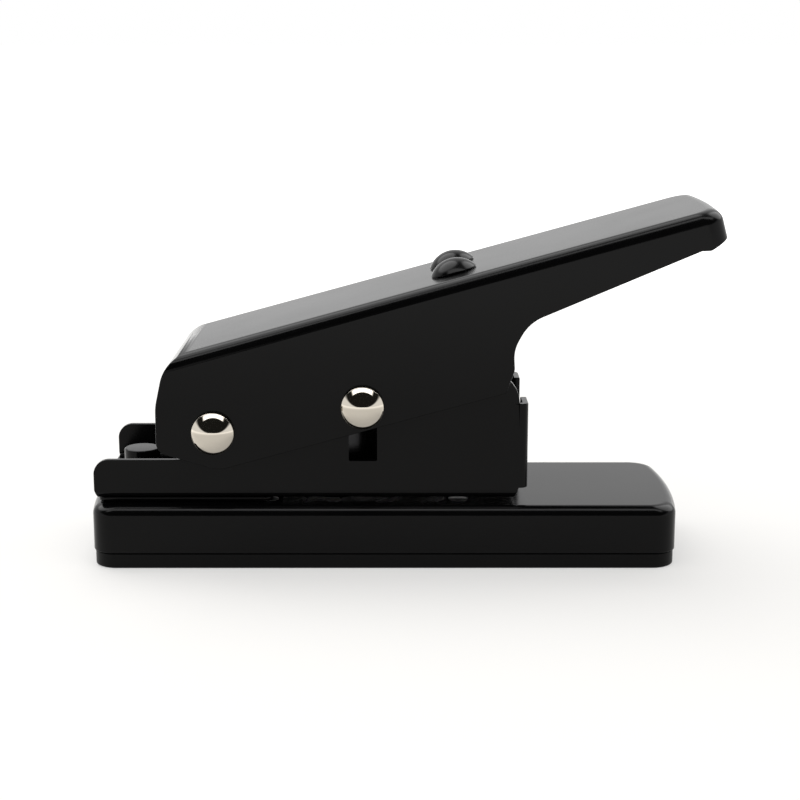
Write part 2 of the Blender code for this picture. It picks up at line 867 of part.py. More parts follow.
def spring_share(turn):
    """How far along its middle line the wire is after so many turns: close at the ends, open between."""
    end_rise = spring_end_pitch / spring_rise
    if turn < 1:
        return end_rise * turn
    if turn > spring_turns - 1:
        return 1 - end_rise * (spring_turns - turn)
    return end_rise + (1 - 2 * end_rise) * (turn - 1) / (spring_turns - 2)


def spring_points(across):
    points = []
    for step in range(spring_turns * spring_points_per_turn + 1):
        turn = step / spring_points_per_turn
        middle, direction = spring_middle(spring_share(turn))
        aside = Vector((direction.y, -direction.x))
        angle = math.tau * turn
        flat = middle + aside * (spring_radius * math.cos(angle))
        points.append(Vector((flat.x, across + spring_radius * math.sin(angle), flat.y)))
    return points


for side_name, side in (("near", -1), ("far", 1)):
    wire = bpy.data.curves.new(f"return_spring_{side_name}", "CURVE")
    wire.dimensions = "3D"
    wire.bevel_depth = spring_wire / 2
    wire.bevel_resolution = 1
    wire.use_fill_caps = True
    route = spring_points(side * spring_spread / 2)
    path = wire.splines.new("POLY")
    path.points.add(len(route) - 1)
    for target, point in zip(path.points, route):
        target.co = (*point, 1.0)
    wire.materials.append(spring_steel)
    spring = bpy.data.objects.new(f"return_spring_{side_name}", wire)
    bpy.context.scene.collection.objects.link(spring)
    skip = spring_points_per_turn // 2
    least = min(
        (route[one] - route[other]).length
        for one in range(len(route))
        for other in range(one + skip, len(route))
    )
    print(f"return_spring_{side_name}: least gap between turns {(least - spring_wire) / mm:.2f} mm")

# Punch: a pick-shaped steel block, cross-drilled for the drive pin

punch_lift = pivot("punch_lift", (drive_pin_x, 0, drive_pin_z))
punch_low = punch_bottom - drive_pin_z
punch_high = punch_low + punch_height


def pick_inset(inset):
    return pick_outline(-inset)


punch_levels = [(punch_low, 0), (punch_high - punch_chamfer, 0), (punch_high, punch_chamfer)]
punch = place("punch", loops_to_mesh(shell_levels(pick_inset, punch_levels)), ground_steel, parent=punch_lift)
punch_hole = cutter("punch_hole_cut", turned(pin_hole), (0, 0, 0), (level_turn, 0, 0), punch_lift)
combine(punch, punch_hole)

# Pins, caps and washers: the rear set stays on the channel, the drive set moves with the punch

pin_end = lever_half + pin_reach
pin_profile = [
    (0, -pin_end),
    (pin_radius - pin_chamfer, -pin_end),
    (pin_radius, -pin_end + pin_chamfer),
    (pin_radius, pin_end - pin_chamfer),
    (pin_radius - pin_chamfer, pin_end),
    (0, pin_end),
]
cap_bore = pin_radius + running_gap
cap_seat = lever_half + seat_gap
cap_ceiling = pin_end + running_gap
cap_profile = [
    (0, cap_ceiling),
    (cap_bore, cap_ceiling),
    (cap_bore, cap_seat),
    (cap_radius, cap_seat),
    *dome(cap_radius, cap_height - cap_rim, cap_seat + cap_rim),
]
washer_bore = pin_radius + running_gap
washer_low = channel_half + seat_gap
washer_profile = [
    (washer_bore, washer_low),
    (washer_radius, washer_low),
    (washer_radius, washer_low + washer_thickness),
    (washer_bore, washer_low + washer_thickness),
]
for set_name, parent, spot in (("rear", None, (rear_pin_x, 0, rear_pin_z)), ("drive", punch_lift, (0, 0, 0))):
    place(f"{set_name}_pin", turned(pin_profile), plated_steel, spot, (level_turn, 0, 0), parent)
    for side_name, facing in (("near", level_turn), ("far", -level_turn)):
        tilt = (facing, 0, 0)
        place(f"{set_name}_cap_{side_name}", turned(cap_profile), chrome, spot, tilt, parent)
        washer = turned(washer_profile, closed=True, segments=small_round_segments)
        place(f"{set_name}_washer_{side_name}", washer, black_nylon, spot, tilt, parent)
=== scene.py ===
import math

import bmesh
import bpy
from mathutils import Matrix, Vector


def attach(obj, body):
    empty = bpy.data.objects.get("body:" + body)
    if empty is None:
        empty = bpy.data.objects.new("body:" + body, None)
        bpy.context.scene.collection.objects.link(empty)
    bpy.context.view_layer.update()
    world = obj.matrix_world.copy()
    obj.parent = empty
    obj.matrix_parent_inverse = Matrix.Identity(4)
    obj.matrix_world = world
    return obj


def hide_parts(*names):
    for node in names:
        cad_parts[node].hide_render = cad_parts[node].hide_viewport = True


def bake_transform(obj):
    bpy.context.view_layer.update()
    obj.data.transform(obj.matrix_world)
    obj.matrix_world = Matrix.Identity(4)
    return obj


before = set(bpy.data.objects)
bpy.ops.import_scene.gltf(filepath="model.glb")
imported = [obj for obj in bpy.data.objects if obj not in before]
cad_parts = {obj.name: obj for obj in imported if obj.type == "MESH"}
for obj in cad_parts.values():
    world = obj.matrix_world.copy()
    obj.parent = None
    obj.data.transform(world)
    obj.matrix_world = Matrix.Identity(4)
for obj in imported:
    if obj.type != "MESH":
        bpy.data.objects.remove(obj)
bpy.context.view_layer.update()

mm = 0.001

# Camera
# It stands in front of the punch's near side, a little higher than the handle, and looks down on it
# by twelve degrees, with the base level across the picture.

camera_lens = 75.857
camera_sensor = 36.0
camera_place = (0.00336, -0.39883, 0.12349)
camera_dip = math.radians(12.418)
camera_turn = math.radians(-0.047)
right_angle = math.radians(90)

camera_data = bpy.data.cameras.new("camera")
camera_data.lens = camera_lens
camera_data.sensor_width = camera_sensor
camera = bpy.data.objects.new("camera", camera_data)
camera.location = camera_place
camera.rotation_euler = (right_angle - camera_dip, 0, camera_turn)
bpy.context.scene.collection.objects.link(camera)
bpy.context.scene.camera = camera

# Table and room
# A plain white table top in a white room, lit by soft light from all round and by one broad lamp above
# and behind. Glossy reflections also see a grey ceiling, two bright panels, a bright strip and a dim front,
# and a painted shade on the table in front of the object.

white = (1.0, 1.0, 1.0, 1)
table_colour = (0.86, 0.84, 0.80, 1)
table_seen_colour = (0.55, 0.54, 0.52, 1)
table_roughness = 0.9
table_reach = 12.0
table_glow = 0.44
table_far_glow = 1.0
table_glow_start = 0.16
table_glow_end = 0.55
# Painted shade: the table in front of the object is darker in glossy rays only, standing in for its shadow
# there.
table_front_painted_shade = 0.22
table_painted_shade_start = 0.02
table_painted_shade_end = -0.06
room_colour = (0.85, 0.85, 0.85, 1)
lamp_size = 0.9
lamp_energy = 5.0
lamp_place = (-0.25, 0.45, 1.0)
ceiling_grey = (0.25, 0.25, 0.25, 1)
ceiling_start = 0.78
ceiling_end = 0.90
front_start = 0.05
front_end = -0.05
dim_colour = (0.012, 0.012, 0.011, 1)
dim_height = 0.44
dim_half_width = 0.92
dim_half_height = 0.49
dim_outer = 1.1
dim_inner = 0.85
panel_light = (3.8, 3.8, 3.8, 1)
left_panel = (-0.44, 0.36, 0.82)
right_panel = (0.62, 0.40, 0.68)
panel_start = 0.87
panel_end = 0.93
strip_light = (3.4, 3.4, 3.4, 1)
strip_middle = -0.30
strip_half_outer = 0.182
strip_half_inner = 0.112
strip_reach_outer = 0.66
strip_reach_inner = 0.495
strip_rise = 0.3

bpy.context.scene.view_settings.view_transform = "Standard"


def feed(tree, source, target):
    """Wires a socket to an input, or gives the input a plain value."""
    if isinstance(source, bpy.types.NodeSocket):
        tree.links.new(source, target)
    else:
        target.default_value = source


def add_node(tree, kind, inputs, **settings):
    """A new node with its settings, whose inputs are wired to sockets or given plain values."""
    made = tree.nodes.new(kind)
    for name, value in settings.items():
        setattr(made, name, value)
    for name, value in inputs.items():
        feed(tree, value, made.inputs[name])
    return made


def number_node(tree, operation, first, second=0.0):
    """The result of a sum on sockets or plain numbers."""
    return add_node(tree, "ShaderNodeMath", {0: first, 1: second}, operation=operation).outputs[0]


def share_between(tree, value, start, end):
    """Goes smoothly from zero to one while a value goes from its start to its end."""
    inputs = {"Value": value, "From Min": start, "From Max": end}
    return add_node(tree, "ShaderNodeMapRange", inputs, interpolation_type="SMOOTHSTEP").outputs["Result"]


def mixed(tree, share, first, second):
    """A colour between two others, each a socket or plain numbers."""
    inputs = {"Factor": share, "A": first, "B": second}
    return add_node(tree, "ShaderNodeMix", inputs, data_type="RGBA").outputs["Result"]


def ray_shares(tree):
    """Two shares: rays off a glossy surface, and those with camera rays and rays through glass."""
    path = tree.nodes.new("ShaderNodeLightPath").outputs
    straight = number_node(tree, "MAXIMUM", path["Is Camera Ray"], path["Is Transmission Ray"])
    return path["Is Glossy Ray"], number_node(tree, "MAXIMUM", straight, path["Is Glossy Ray"])


room = bpy.data.worlds.new("white_room")
room.use_nodes = True
bpy.context.scene.world = room
room_tree = room.node_tree
room_glossy, room_seen = ray_shares(room_tree)
room_way = room_tree.nodes.new("ShaderNodeTexCoord").outputs["Generated"]
room_axes = add_node(room_tree, "ShaderNodeSeparateXYZ", {0: room_way}).outputs

dim_across = number_node(room_tree, "DIVIDE", room_axes["X"], dim_half_width)
dim_above = number_node(room_tree, "SUBTRACT", room_axes["Z"], dim_height)
dim_above = number_node(room_tree, "DIVIDE", dim_above, dim_half_height)
across_squared = number_node(room_tree, "MULTIPLY", dim_across, dim_across)
above_squared = number_node(room_tree, "MULTIPLY", dim_above, dim_above)
dim_oval = number_node(room_tree, "ADD", across_squared, above_squared)
in_front = share_between(room_tree, room_axes["Y"], front_start, front_end)
in_oval = share_between(room_tree, dim_oval, dim_outer, dim_inner)
dim_share = number_node(room_tree, "MULTIPLY", in_oval, in_front)

off_strip = number_node(room_tree, "SUBTRACT", room_axes["Y"], strip_middle)
strip_share = share_between(room_tree, room_axes["Z"], 0, strip_rise)
for place, outer, inner in (
    (off_strip, strip_half_outer, strip_half_inner),
    (room_axes["X"], strip_reach_outer, strip_reach_inner),
):
    within = share_between(room_tree, number_node(room_tree, "ABSOLUTE", place), outer, inner)
    strip_share = number_node(room_tree, "MULTIPLY", strip_share, within)

ceiling_share = share_between(room_tree, room_axes["Z"], ceiling_start, ceiling_end)
glossy_room = mixed(room_tree, ceiling_share, white, ceiling_grey)
glossy_room = mixed(room_tree, dim_share, glossy_room, dim_colour)
for panel in (left_panel, right_panel):
    panel_ways = {0: room_way, 1: Vector(panel).normalized()}
    towards = add_node(room_tree, "ShaderNodeVectorMath", panel_ways, operation="DOT_PRODUCT")
    panel_share = share_between(room_tree, towards.outputs["Value"], panel_start, panel_end)
    glossy_room = mixed(room_tree, panel_share, glossy_room, panel_light)
glossy_room = mixed(room_tree, strip_share, glossy_room, strip_light)
plain_room = mixed(room_tree, room_seen, room_colour, white)
room_back = room_tree.nodes["Background"].inputs
feed(room_tree, mixed(room_tree, room_glossy, plain_room, glossy_room), room_back["Color"])
room_back["Strength"].default_value = 1.0

table_paint = bpy.data.materials.new("table_white")
table_paint.use_nodes = True
table_tree = table_paint.node_tree
table_shader = table_tree.nodes["Principled BSDF"].inputs
table_shader["Roughness"].default_value = table_roughness
table_shader["Specular IOR Level"].default_value = 0.0
table_shader["Emission Color"].default_value = white
table_glossy, table_seen = ray_shares(table_tree)
table_place = table_tree.nodes.new("ShaderNodeTexCoord").outputs["Object"]
table_away = add_node(table_tree, "ShaderNodeVectorMath", {0: table_place}, operation="LENGTH")
table_axes = add_node(table_tree, "ShaderNodeSeparateXYZ", {0: table_place}).outputs
far_share = share_between(table_tree, table_away.outputs["Value"], table_glow_start, table_glow_end)
far_glow = number_node(table_tree, "MULTIPLY", far_share, table_far_glow - table_glow)
whole_glow = number_node(table_tree, "ADD", far_glow, table_glow)
seen_glow = number_node(table_tree, "MULTIPLY", whole_glow, table_seen)
# Painted shade on the table in front of the object, seen only in reflections, where the object's shadow
# falls.
table_painted_shade_share = share_between(table_tree, table_axes["Y"], table_painted_shade_start, table_painted_shade_end)
table_painted_shade = number_node(table_tree, "MULTIPLY", table_painted_shade_share, table_front_painted_shade)
table_painted_shade = number_node(table_tree, "MULTIPLY", table_painted_shade, table_glossy)
table_strength = number_node(table_tree, "SUBTRACT", seen_glow, table_painted_shade)
feed(table_tree, table_strength, table_shader["Emission Strength"])
table_look = mixed(table_tree, table_seen, table_colour, table_seen_colour)
feed(table_tree, table_look, table_shader["Base Color"])
table_mesh = bpy.data.meshes.new("table_top")
table_mesh.from_pydata(
    [(x * table_reach, y * table_reach, 0) for x, y in ((-1, -1), (1, -1), (1, 1), (-1, 1))],
    [],
    [(0, 1, 2, 3)],
)
table_mesh.materials.append(table_paint)
table_top = bpy.data.objects.new("table_top", table_mesh)
bpy.context.scene.collection.objects.link(table_top)

lamp_data = bpy.data.lights.new("broad_lamp", "AREA")
lamp_data.size = lamp_size
lamp_data.energy = lamp_energy
lamp = bpy.data.objects.new("broad_lamp", lamp_data)
lamp.location = lamp_place
lamp.rotation_euler = Vector(lamp_place).to_track_quat("Z", "Y").to_euler()
lamp.visible_glossy = False
bpy.context.scene.collection.objects.link(lamp)

# Base shell
# The tall black box under the channel, drawn from 1.2 mm sheet steel with rounded corners and slightly
# bowed ends, open below, and coated in glossy black enamel. A window in its top shows the die.

base_length = 139.3 * mm
base_width = 44.0 * mm
base_height = 14.95 * mm
base_corner_radius = 6.2 * mm
base_end_bow = 1.9 * mm
shell_wall = 1.2 * mm
shell_edge_radius = 2.4 * mm
shell_inner_radius = 1.2 * mm
parting_height = 3.8 * mm
running_gap = 0.3 * mm
overrun = 5.0 * mm
arc_step = math.radians(4)
land_length = 38.0 * mm
land_width = 34.0 * mm
land_corner_radius = 2.5 * mm
drive_pin_x = -4.95 * mm
die_rivet_x = 22.25 * mm
die_rivet_y = 14.2 * mm
die_rivet_radius = 1.4 * mm
die_rivet_head_radius = 2.4 * mm
die_rivet_head_depth = 0.8 * mm
rivet_shank_radius = 2.0 * mm
rear_post_x = -59.1 * mm
channel_rivet_x = -36.2 * mm
channel_rivet_y = 10.0 * mm
rolled_edge = 0.25 * mm
rivet_segments = 48
straight_turn = math.radians(0.5)
longest_tangent_share = 0.49
weld_reach = 0.004 * mm
broken_turn = math.radians(38)
sharp_turn = math.radians(50)
flat_face_weight = 100
patch_low = 0.3
patch_high = 0.7


def rounded_outline(corners):
    """Points of a closed outline whose corners, each (x, y, radius), are rounded off."""
    points = []
    count = len(corners)
    for index, (x, y, radius) in enumerate(corners):
        here = Vector((x, y))
        before = Vector(corners[index - 1][:2]) - here
        after = Vector(corners[(index + 1) % count][:2]) - here
        turn = math.pi - before.angle(after)
        if radius == 0 or turn < straight_turn:
            points.append(here)
            continue
        longest = longest_tangent_share * min(before.length, after.length)
        tangent = min(radius * math.tan(turn / 2), longest)
        radius = tangent / math.tan(turn / 2)
        middle = (before.normalized() + after.normalized()).normalized()
        centre = here + middle * (radius / math.cos(turn / 2))
        start = here + before.normalized() * tangent - centre
        side = 1 if before.cross(after) < 0 else -1
        steps = max(2, math.ceil(turn / arc_step))
        for step in range(steps + 1):
            points.append(centre + Matrix.Rotation(side * turn * step / steps, 2) @ start)
    return [(point.x, point.y) for point in points]


def four_corners(low, high, low_radius, high_radius):
    """An outline from one corner to the opposite one, with its lower and upper corners rounded."""
    left, bottom = low
    right, top = high
    lower = [(left, bottom, low_radius), (right, bottom, low_radius)]
    return rounded_outline(lower + [(right, top, high_radius), (left, top, high_radius)])


def rectangle(length, width, radius):
    return four_corners((-length / 2, -width / 2), (length / 2, width / 2), radius, radius)


def bowed_plan(low, high, width, radius, low_bow, high_bow, steps=20, skip=4):
    """A rectangle seen from above, with round corners and ends that bow outwards."""
    half = width / 2
    low_flat = low + low_bow
    high_flat = high - high_bow
    shape = rounded_outline(
        [
            (low_flat, -half, radius),
            (high_flat, -half, radius),
            *[(high_flat, -half + width * step / steps, 0) for step in range(skip, steps - skip + 1)],
            (high_flat, half, radius),
            (low_flat, half, radius),
            *[(low_flat, half - width * step / steps, 0) for step in range(skip, steps - skip + 1)],
        ]
    )
    middle = (low + high) / 2
    bowed = []
    for x, y in shape:
        share = 1 - (y / half) ** 2
        beyond = x - high_flat + radius if x > middle else low_flat + radius - x
        if beyond > 0:
            x += share * (high_bow if x > middle else -low_bow)
        bowed.append((x, y))
    return bowed


def skin_over(loops, closed=False):
    """Joins a run of equal loops into one closed skin, with a face on the first and last loop."""
    skin = bmesh.new()
    rings = [[skin.verts.new(point) for point in loop] for loop in loops]
    pairs = list(zip(rings, rings[1:] + rings[:1])) if closed else list(zip(rings, rings[1:]))
    for ring, other in pairs:
        count = max(len(ring), len(other))
        for index in range(count):
            following = (index + 1) % count
            if len(ring) == 1:
                skin.faces.new((ring[0], other[index], other[following]))
            elif len(other) == 1:
                skin.faces.new((ring[index], other[0], ring[following]))
            else:
                skin.faces.new((ring[index], other[index], other[following], ring[following]))
    if not closed:
        for ring in (rings[0], rings[-1]):
            if len(ring) > 2:
                skin.faces.new(ring)
    bmesh.ops.recalc_face_normals(skin, faces=skin.faces)
    return skin


def prism_across(points, low, high):
    """A side outline of (x, z) points, extruded from y = low to y = high."""
    return skin_over([[(x, low, z) for x, z in points], [(x, high, z) for x, z in points]])


def prism_through(points, half):
    """A side outline extruded past both sides of a piece of this half width."""
    return prism_across(points, -half - overrun, half + overrun)


def prism_upright(points, low, high):
    """A plan outline of (x, y) points, extruded from z = low to z = high."""
    return skin_over([[(x, y, low) for x, y in points], [(x, y, high) for x, y in points]])


def turned(profile, closed=False, segments=72):
    """A profile of (radius, height) points turned about the Z axis."""
    loops = []
    for radius, height in profile:
        if radius == 0:
            loops.append([(0, 0, height)])
            continue
        angles = [math.tau * step / segments for step in range(segments)]
        loops.append([(radius * math.cos(angle), radius * math.sin(angle), height) for angle in angles])
    return skin_over(loops, closed)


def levels_of(plan, levels):
    """Loops of a plan outline at (height, inset) levels."""
    return [[(x, y, height) for x, y in plan(inset)] for height, inset in levels]


def edge_round(radius, top, inset, steps=8):
    """Levels that round an upper edge off, from its foot to the flat top."""
    quarter = math.pi / 2
    return [
        (
            top - radius + radius * math.sin(quarter * step / steps),
            inset + radius - radius * math.cos(quarter * step / steps),
        )
        for step in range(steps + 1)
    ]


def blank(name, skin, move=None):
    """Puts a skin into the scene as a blank that can be cut."""
    if move is not None:
        bmesh.ops.transform(skin, matrix=move, verts=skin.verts)
    mesh = bpy.data.meshes.new(name)
    skin.to_mesh(mesh)
    skin.free()
    made = bpy.data.objects.new(name, mesh)
    bpy.context.scene.collection.objects.link(made)
    return made


def cut(work, tool, operation="DIFFERENCE"):
    """Cuts a blank with a tool, or joins the tool to it, and takes the tool away."""
    change = work.modifiers.new("cut", "BOOLEAN")
    change.object = tool
    change.operation = operation
    change.solver = "EXACT"
    settle(work)
    bpy.data.objects.remove(tool, do_unlink=True)


def settle(work):
    """Turns what a piece's modifiers make into its plain mesh."""
    shown = work.evaluated_get(bpy.context.evaluated_depsgraph_get())
    mesh = bpy.data.meshes.new_from_object(shown)
    work.modifiers.clear()
    old = work.data
    work.data = mesh
    bpy.data.meshes.remove(old)
    mesh.name = work.name


def weigh_normals(work):
    """Shades a piece smooth but leaves its flat faces flat."""
    weight = work.modifiers.new("shading", "WEIGHTED_NORMAL")
    weight.keep_sharp = True
    weight.weight = flat_face_weight
    settle(work)


def even_shading(work):
    """Shades a piece smooth up to its sharp edges, with its flat faces left flat."""
    work.data.shade_smooth()
    work.data.set_sharp_from_angle(angle=sharp_turn)
    weigh_normals(work)


def break_edges(work, width, segments=2, turn=broken_turn):
    """Rounds a piece's sharp edges off by a small width and shades it smooth."""
    weld = work.modifiers.new("weld", "WELD")
    weld.merge_threshold = weld_reach
    settle(work)
    work.data.shade_smooth()
    bevel = work.modifiers.new("edges", "BEVEL")
    bevel.width = width
    bevel.segments = segments
    bevel.limit_method = "ANGLE"
    bevel.angle_limit = turn
    bevel.use_clamp_overlap = False
    weigh_normals(work)


def coat(work, finish):
    """Gives a piece its one finish."""
    work.data.materials.clear()
    work.data.materials.append(finish)


def add_socket(tree, kind, name, way="INPUT", value=None):
    made = tree.interface.new_socket(name=name, in_out=way, socket_type=kind)
    if value is not None:
        made.default_value = value
    return made


# The unevenness that every finish here has: a fine grain, and broad, faint patches
surface_grain = bpy.data.node_groups.new("surface_grain", "ShaderNodeTree")
add_socket(surface_grain, "NodeSocketVector", "Place")
add_socket(surface_grain, "NodeSocketVector", "Stretch", value=(1, 1, 1))
add_socket(surface_grain, "NodeSocketFloat", "Grain Scale", value=1500)
add_socket(surface_grain, "NodeSocketFloat", "Patch Scale", value=60)
add_socket(surface_grain, "NodeSocketFloat", "Grain", way="OUTPUT")
add_socket(surface_grain, "NodeSocketFloat", "Patch", way="OUTPUT")
grain_in = surface_grain.nodes.new("NodeGroupInput").outputs
grain_out = surface_grain.nodes.new("NodeGroupOutput").inputs
grain_ways = {0: grain_in["Place"], 1: grain_in["Stretch"]}
grain_drawn = add_node(surface_grain, "ShaderNodeVectorMath", grain_ways, operation="MULTIPLY").outputs[0]
for name, place, detail, roughness in (
    ("Grain", grain_drawn, 3, 0.55),
    ("Patch", grain_in["Place"], 2, 0.5),
):
    noise_inputs = {
        "Vector": place,
        "Scale": grain_in[f"{name} Scale"],
        "Detail": detail,
        "Roughness": roughness,
    }
    noise = add_node(surface_grain, "ShaderNodeTexNoise", noise_inputs)
    feed(surface_grain, noise.outputs["Fac"], grain_out[name])


def finish_of(
    name, colours, roughness, grain_scale, patch_scale, relief, metallic=1.0, stretch=(1, 1, 1), gloss=0.5
):
    """A finish between two colours and two roughnesses, with a relief in metres from its grain."""
    made = bpy.data.materials.new(name)
    made.use_nodes = True
    tree = made.node_tree
    shader = tree.nodes["Principled BSDF"].inputs
    shader["Metallic"].default_value = metallic
    shader["Specular IOR Level"].default_value = gloss
    grain_inputs = {
        "Place": tree.nodes.new("ShaderNodeTexCoord").outputs["Object"],
        "Stretch": stretch,
        "Grain Scale": grain_scale,
        "Patch Scale": patch_scale,
    }
    grain = add_node(tree, "ShaderNodeGroup", grain_inputs, node_tree=surface_grain).outputs
    low_colour, high_colour = [(*colour, 1) for colour in colours]
    feed(tree, mixed(tree, grain["Patch"], low_colour, high_colour), shader["Base Color"])
    rough_inputs = {
        "Value": grain["Patch"],
        "From Min": patch_low,
        "From Max": patch_high,
        "To Min": roughness[0],
        "To Max": roughness[1],
    }
    feed(tree, add_node(tree, "ShaderNodeMapRange", rough_inputs).outputs["Result"], shader["Roughness"])
    bump_inputs = {"Strength": 1.0, "Distance": relief, "Height": grain["Grain"]}
    feed(tree, add_node(tree, "ShaderNodeBump", bump_inputs).outputs["Normal"], shader["Normal"])
    return made


black_enamel = finish_of(
    "black_enamel",
    colours=((0.0012, 0.0012, 0.0013), (0.0024, 0.0024, 0.0026)),
    roughness=(0.15, 0.19),
    metallic=0.0,
    grain_scale=700,
    patch_scale=45,
    relief=0.0012 * mm,
    gloss=0.145,
)


def base_plan(inset):
    return bowed_plan(
        -base_length / 2 + inset,
        base_length / 2 - inset,
        base_width - 2 * inset,
        base_corner_radius - inset,
        base_end_bow,
        base_end_bow,
    )


def upright_hole(name, radius, x, y, low, high):
    hole = turned([(0, low), (radius, low), (radius, high), (0, high)])
    return blank(name, hole, Matrix.Translation((x, y, 0)))


shell_ceiling = base_height - shell_wall
die_spot = Matrix.Translation((drive_pin_x, 0, 0))
clamp_spots = ((rear_post_x, 0), (channel_rivet_x, -channel_rivet_y), (channel_rivet_x, channel_rivet_y))
die_rivet_hole = [
    (0, base_height + overrun),
    (die_rivet_head_radius + running_gap + overrun, base_height + overrun),
    (die_rivet_radius + running_gap, base_height - die_rivet_head_depth - running_gap),
    (die_rivet_radius + running_gap, 0),
    (0, 0),
]


def drill_die_rivets(work):
    """Cuts the four countersunk holes for the die rivets."""
    for along in (-1, 1):
        for across in (-1, 1):
            spot = Matrix.Translation((drive_pin_x + along * die_rivet_x, across * die_rivet_y, 0))
            cut(work, blank("rivet_tool", turned(die_rivet_hole, segments=rivet_segments), spot))


def drill_clamps(work):
    """Cuts the three holes for the rear post and the channel rivets."""
    for x, y in clamp_spots:
        shank_tool = upright_hole("shank_tool", rivet_shank_radius + running_gap, x, y, overrun, 4 * overrun)
        cut(work, shank_tool)


shell_levels = [
    *reversed(edge_round(shell_inner_radius, shell_ceiling, shell_wall, steps=3)),
    (parting_height, shell_wall),
    (parting_height, 0),
    *edge_round(shell_edge_radius, base_height, 0),
]
base_pressing = blank("base_pressing", skin_over(levels_of(base_plan, shell_levels)))
break_edges(base_pressing, rolled_edge)
window_outline = rectangle(
    land_length + 2 * running_gap, land_width + 2 * running_gap, land_corner_radius + running_gap
)
window_tool = prism_upright(window_outline, shell_ceiling - overrun, base_height + overrun)
cut(base_pressing, blank("window_tool", window_tool, die_spot))
drill_die_rivets(base_pressing)
drill_clamps(base_pressing)
even_shading(base_pressing)
coat(base_pressing, black_enamel)
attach(base_pressing, "base")
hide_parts("base_shell")

# Waste tray
# The slightly narrower band under the parting line: a shallow pan moulded in black plastic, whose rim
# stands inside the shell and holds it by friction, and which catches the cut picks.

tray_band_height = 3.6 * mm
tray_inset = 0.3 * mm
tray_floor = 1.5 * mm
tray_edge_radius = 0.6 * mm
tray_rim_inset = 1.5 * mm
tray_rim_wall = 1.3 * mm
tray_rim_top = 7.0 * mm
tray_edge = 0.2 * mm

satin_plastic = finish_of(
    "satin_black_plastic",
    colours=((0.0022, 0.0022, 0.0023), (0.0034, 0.0034, 0.0035)),
    roughness=(0.30, 0.36),
    metallic=0.0,
    grain_scale=2600,
    patch_scale=70,
    relief=0.004 * mm,
    gloss=0.12,
)
tray_round = edge_round(tray_edge_radius, tray_edge_radius, tray_inset, steps=4)
tray_levels = [
    (tray_floor, tray_rim_inset + tray_rim_wall),
    (tray_rim_top, tray_rim_inset + tray_rim_wall),
    (tray_rim_top, tray_rim_inset),
    (tray_band_height, tray_rim_inset),
    (tray_band_height, tray_inset),
    *[(tray_edge_radius - height, inset) for height, inset in tray_round],
]
tray_moulding = blank("tray_moulding", skin_over(levels_of(base_plan, tray_levels)))
break_edges(tray_moulding, tray_edge)
coat(tray_moulding, satin_plastic)
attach(tray_moulding, "tray")
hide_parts("waste_tray")

# Die plate
# A ground block of tool steel, dark with oil. Its raised land fills the window in the shell's top, its
# flange lies under that top, and the pick-shaped hole through it is what the punch cuts against.

die_top = 13.55 * mm
die_thickness = 3.2 * mm
die_flange_length = 51.0 * mm
die_flange_width = 38.0 * mm
pick_length = 30.0 * mm
pick_width = 26.0 * mm
pick_corner_shares = ((0.55, 0.0, 0.11), (0.10, 0.42, 0.9), (-0.40, 0.545, 0.26), (-0.54, 0.0, 1.0))
die_clearance = 0.2 * mm
ground_edge = 0.12 * mm

ground_steel = finish_of(
    "ground_tool_steel",
    colours=((0.07, 0.07, 0.072), (0.09, 0.09, 0.092)),
    roughness=(0.20, 0.30),
    stretch=(0.06, 1, 1),
    grain_scale=3200,
    patch_scale=120,
    relief=0.004 * mm,
)


def pick_outline(clearance=0.0):
    """The pick's outline about its middle, grown by a clearance, with its tip towards +X."""
    upper = [(x * pick_length, y * pick_length, radius * pick_length) for x, y, radius in pick_corner_shares]
    lower = [(x, -y, radius) for x, y, radius in reversed(upper[1:-1])]
    points = rounded_outline(upper + lower)
    low_x = min(x for x, y in points)
    high_x = max(x for x, y in points)
    high_y = max(y for x, y in points)
    along = (pick_length + 2 * clearance) / (high_x - low_x)
    across = (pick_width + 2 * clearance) / (2 * high_y)
    return [((x - (low_x + high_x) / 2) * along, y * across) for x, y in points]


die_flange = prism_upright(
    rectangle(die_flange_length, die_flange_width, land_corner_radius), die_top - die_thickness, die_top
)
die_block = blank("die_block", die_flange, die_spot)
die_land = prism_upright(
    rectangle(land_length, land_width, land_corner_radius), die_top - die_thickness / 2, base_height
)
cut(die_block, blank("land_form", die_land, die_spot), "UNION")
die_opening = prism_upright(pick_outline(die_clearance), 0, base_height + overrun)
cut(die_block, blank("die_tool", die_opening, die_spot))
drill_die_rivets(die_block)
break_edges(die_block, ground_edge)
coat(die_block, ground_steel)
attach(die_block, "base")
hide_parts("die_plate")

# Die rivets
# Four zinc-plated steel rivets hold the die plate up against the shell. Their heads are countersunk
# flush with the shell's top, and their feet are set flat inside.

die_rivet_foot = 10.15 * mm
die_rivet_foot_radius = 2.5 * mm
die_rivet_foot_height = 0.9 * mm
die_rivet_edge = 0.12 * mm

zinc_plating = finish_of(
    "zinc_plating",
    colours=((0.50, 0.50, 0.50), (0.62, 0.61, 0.59)),
    roughness=(0.28, 0.42),
    grain_scale=2400,
    patch_scale=500,
    relief=0.004 * mm,
)


def open_tree(name, inputs):
    """A new geometry tree with these inputs, the inputs' identifiers, and their sockets in the tree."""
    tree = bpy.data.node_groups.new(name, "GeometryNodeTree")
    ids = {}
    for kind, label, value in inputs:
        ids[label] = add_socket(tree, f"NodeSocket{kind}", label, value=value).identifier
    return tree, ids, tree.nodes.new("NodeGroupInput").outputs


def close_tree(tree, form, finish):
    """Ends a tree: makes its instances real, gives them the finish and sends them out."""
    add_socket(tree, "NodeSocketGeometry", "Made", way="OUTPUT")
    real = add_node(tree, "GeometryNodeRealizeInstances", {"Geometry": form}).outputs[0]
    finished = add_node(tree, "GeometryNodeSetMaterial", {"Geometry": real, "Material": finish})
    feed(tree, finished.outputs[0], tree.nodes.new("NodeGroupOutput").inputs["Made"])


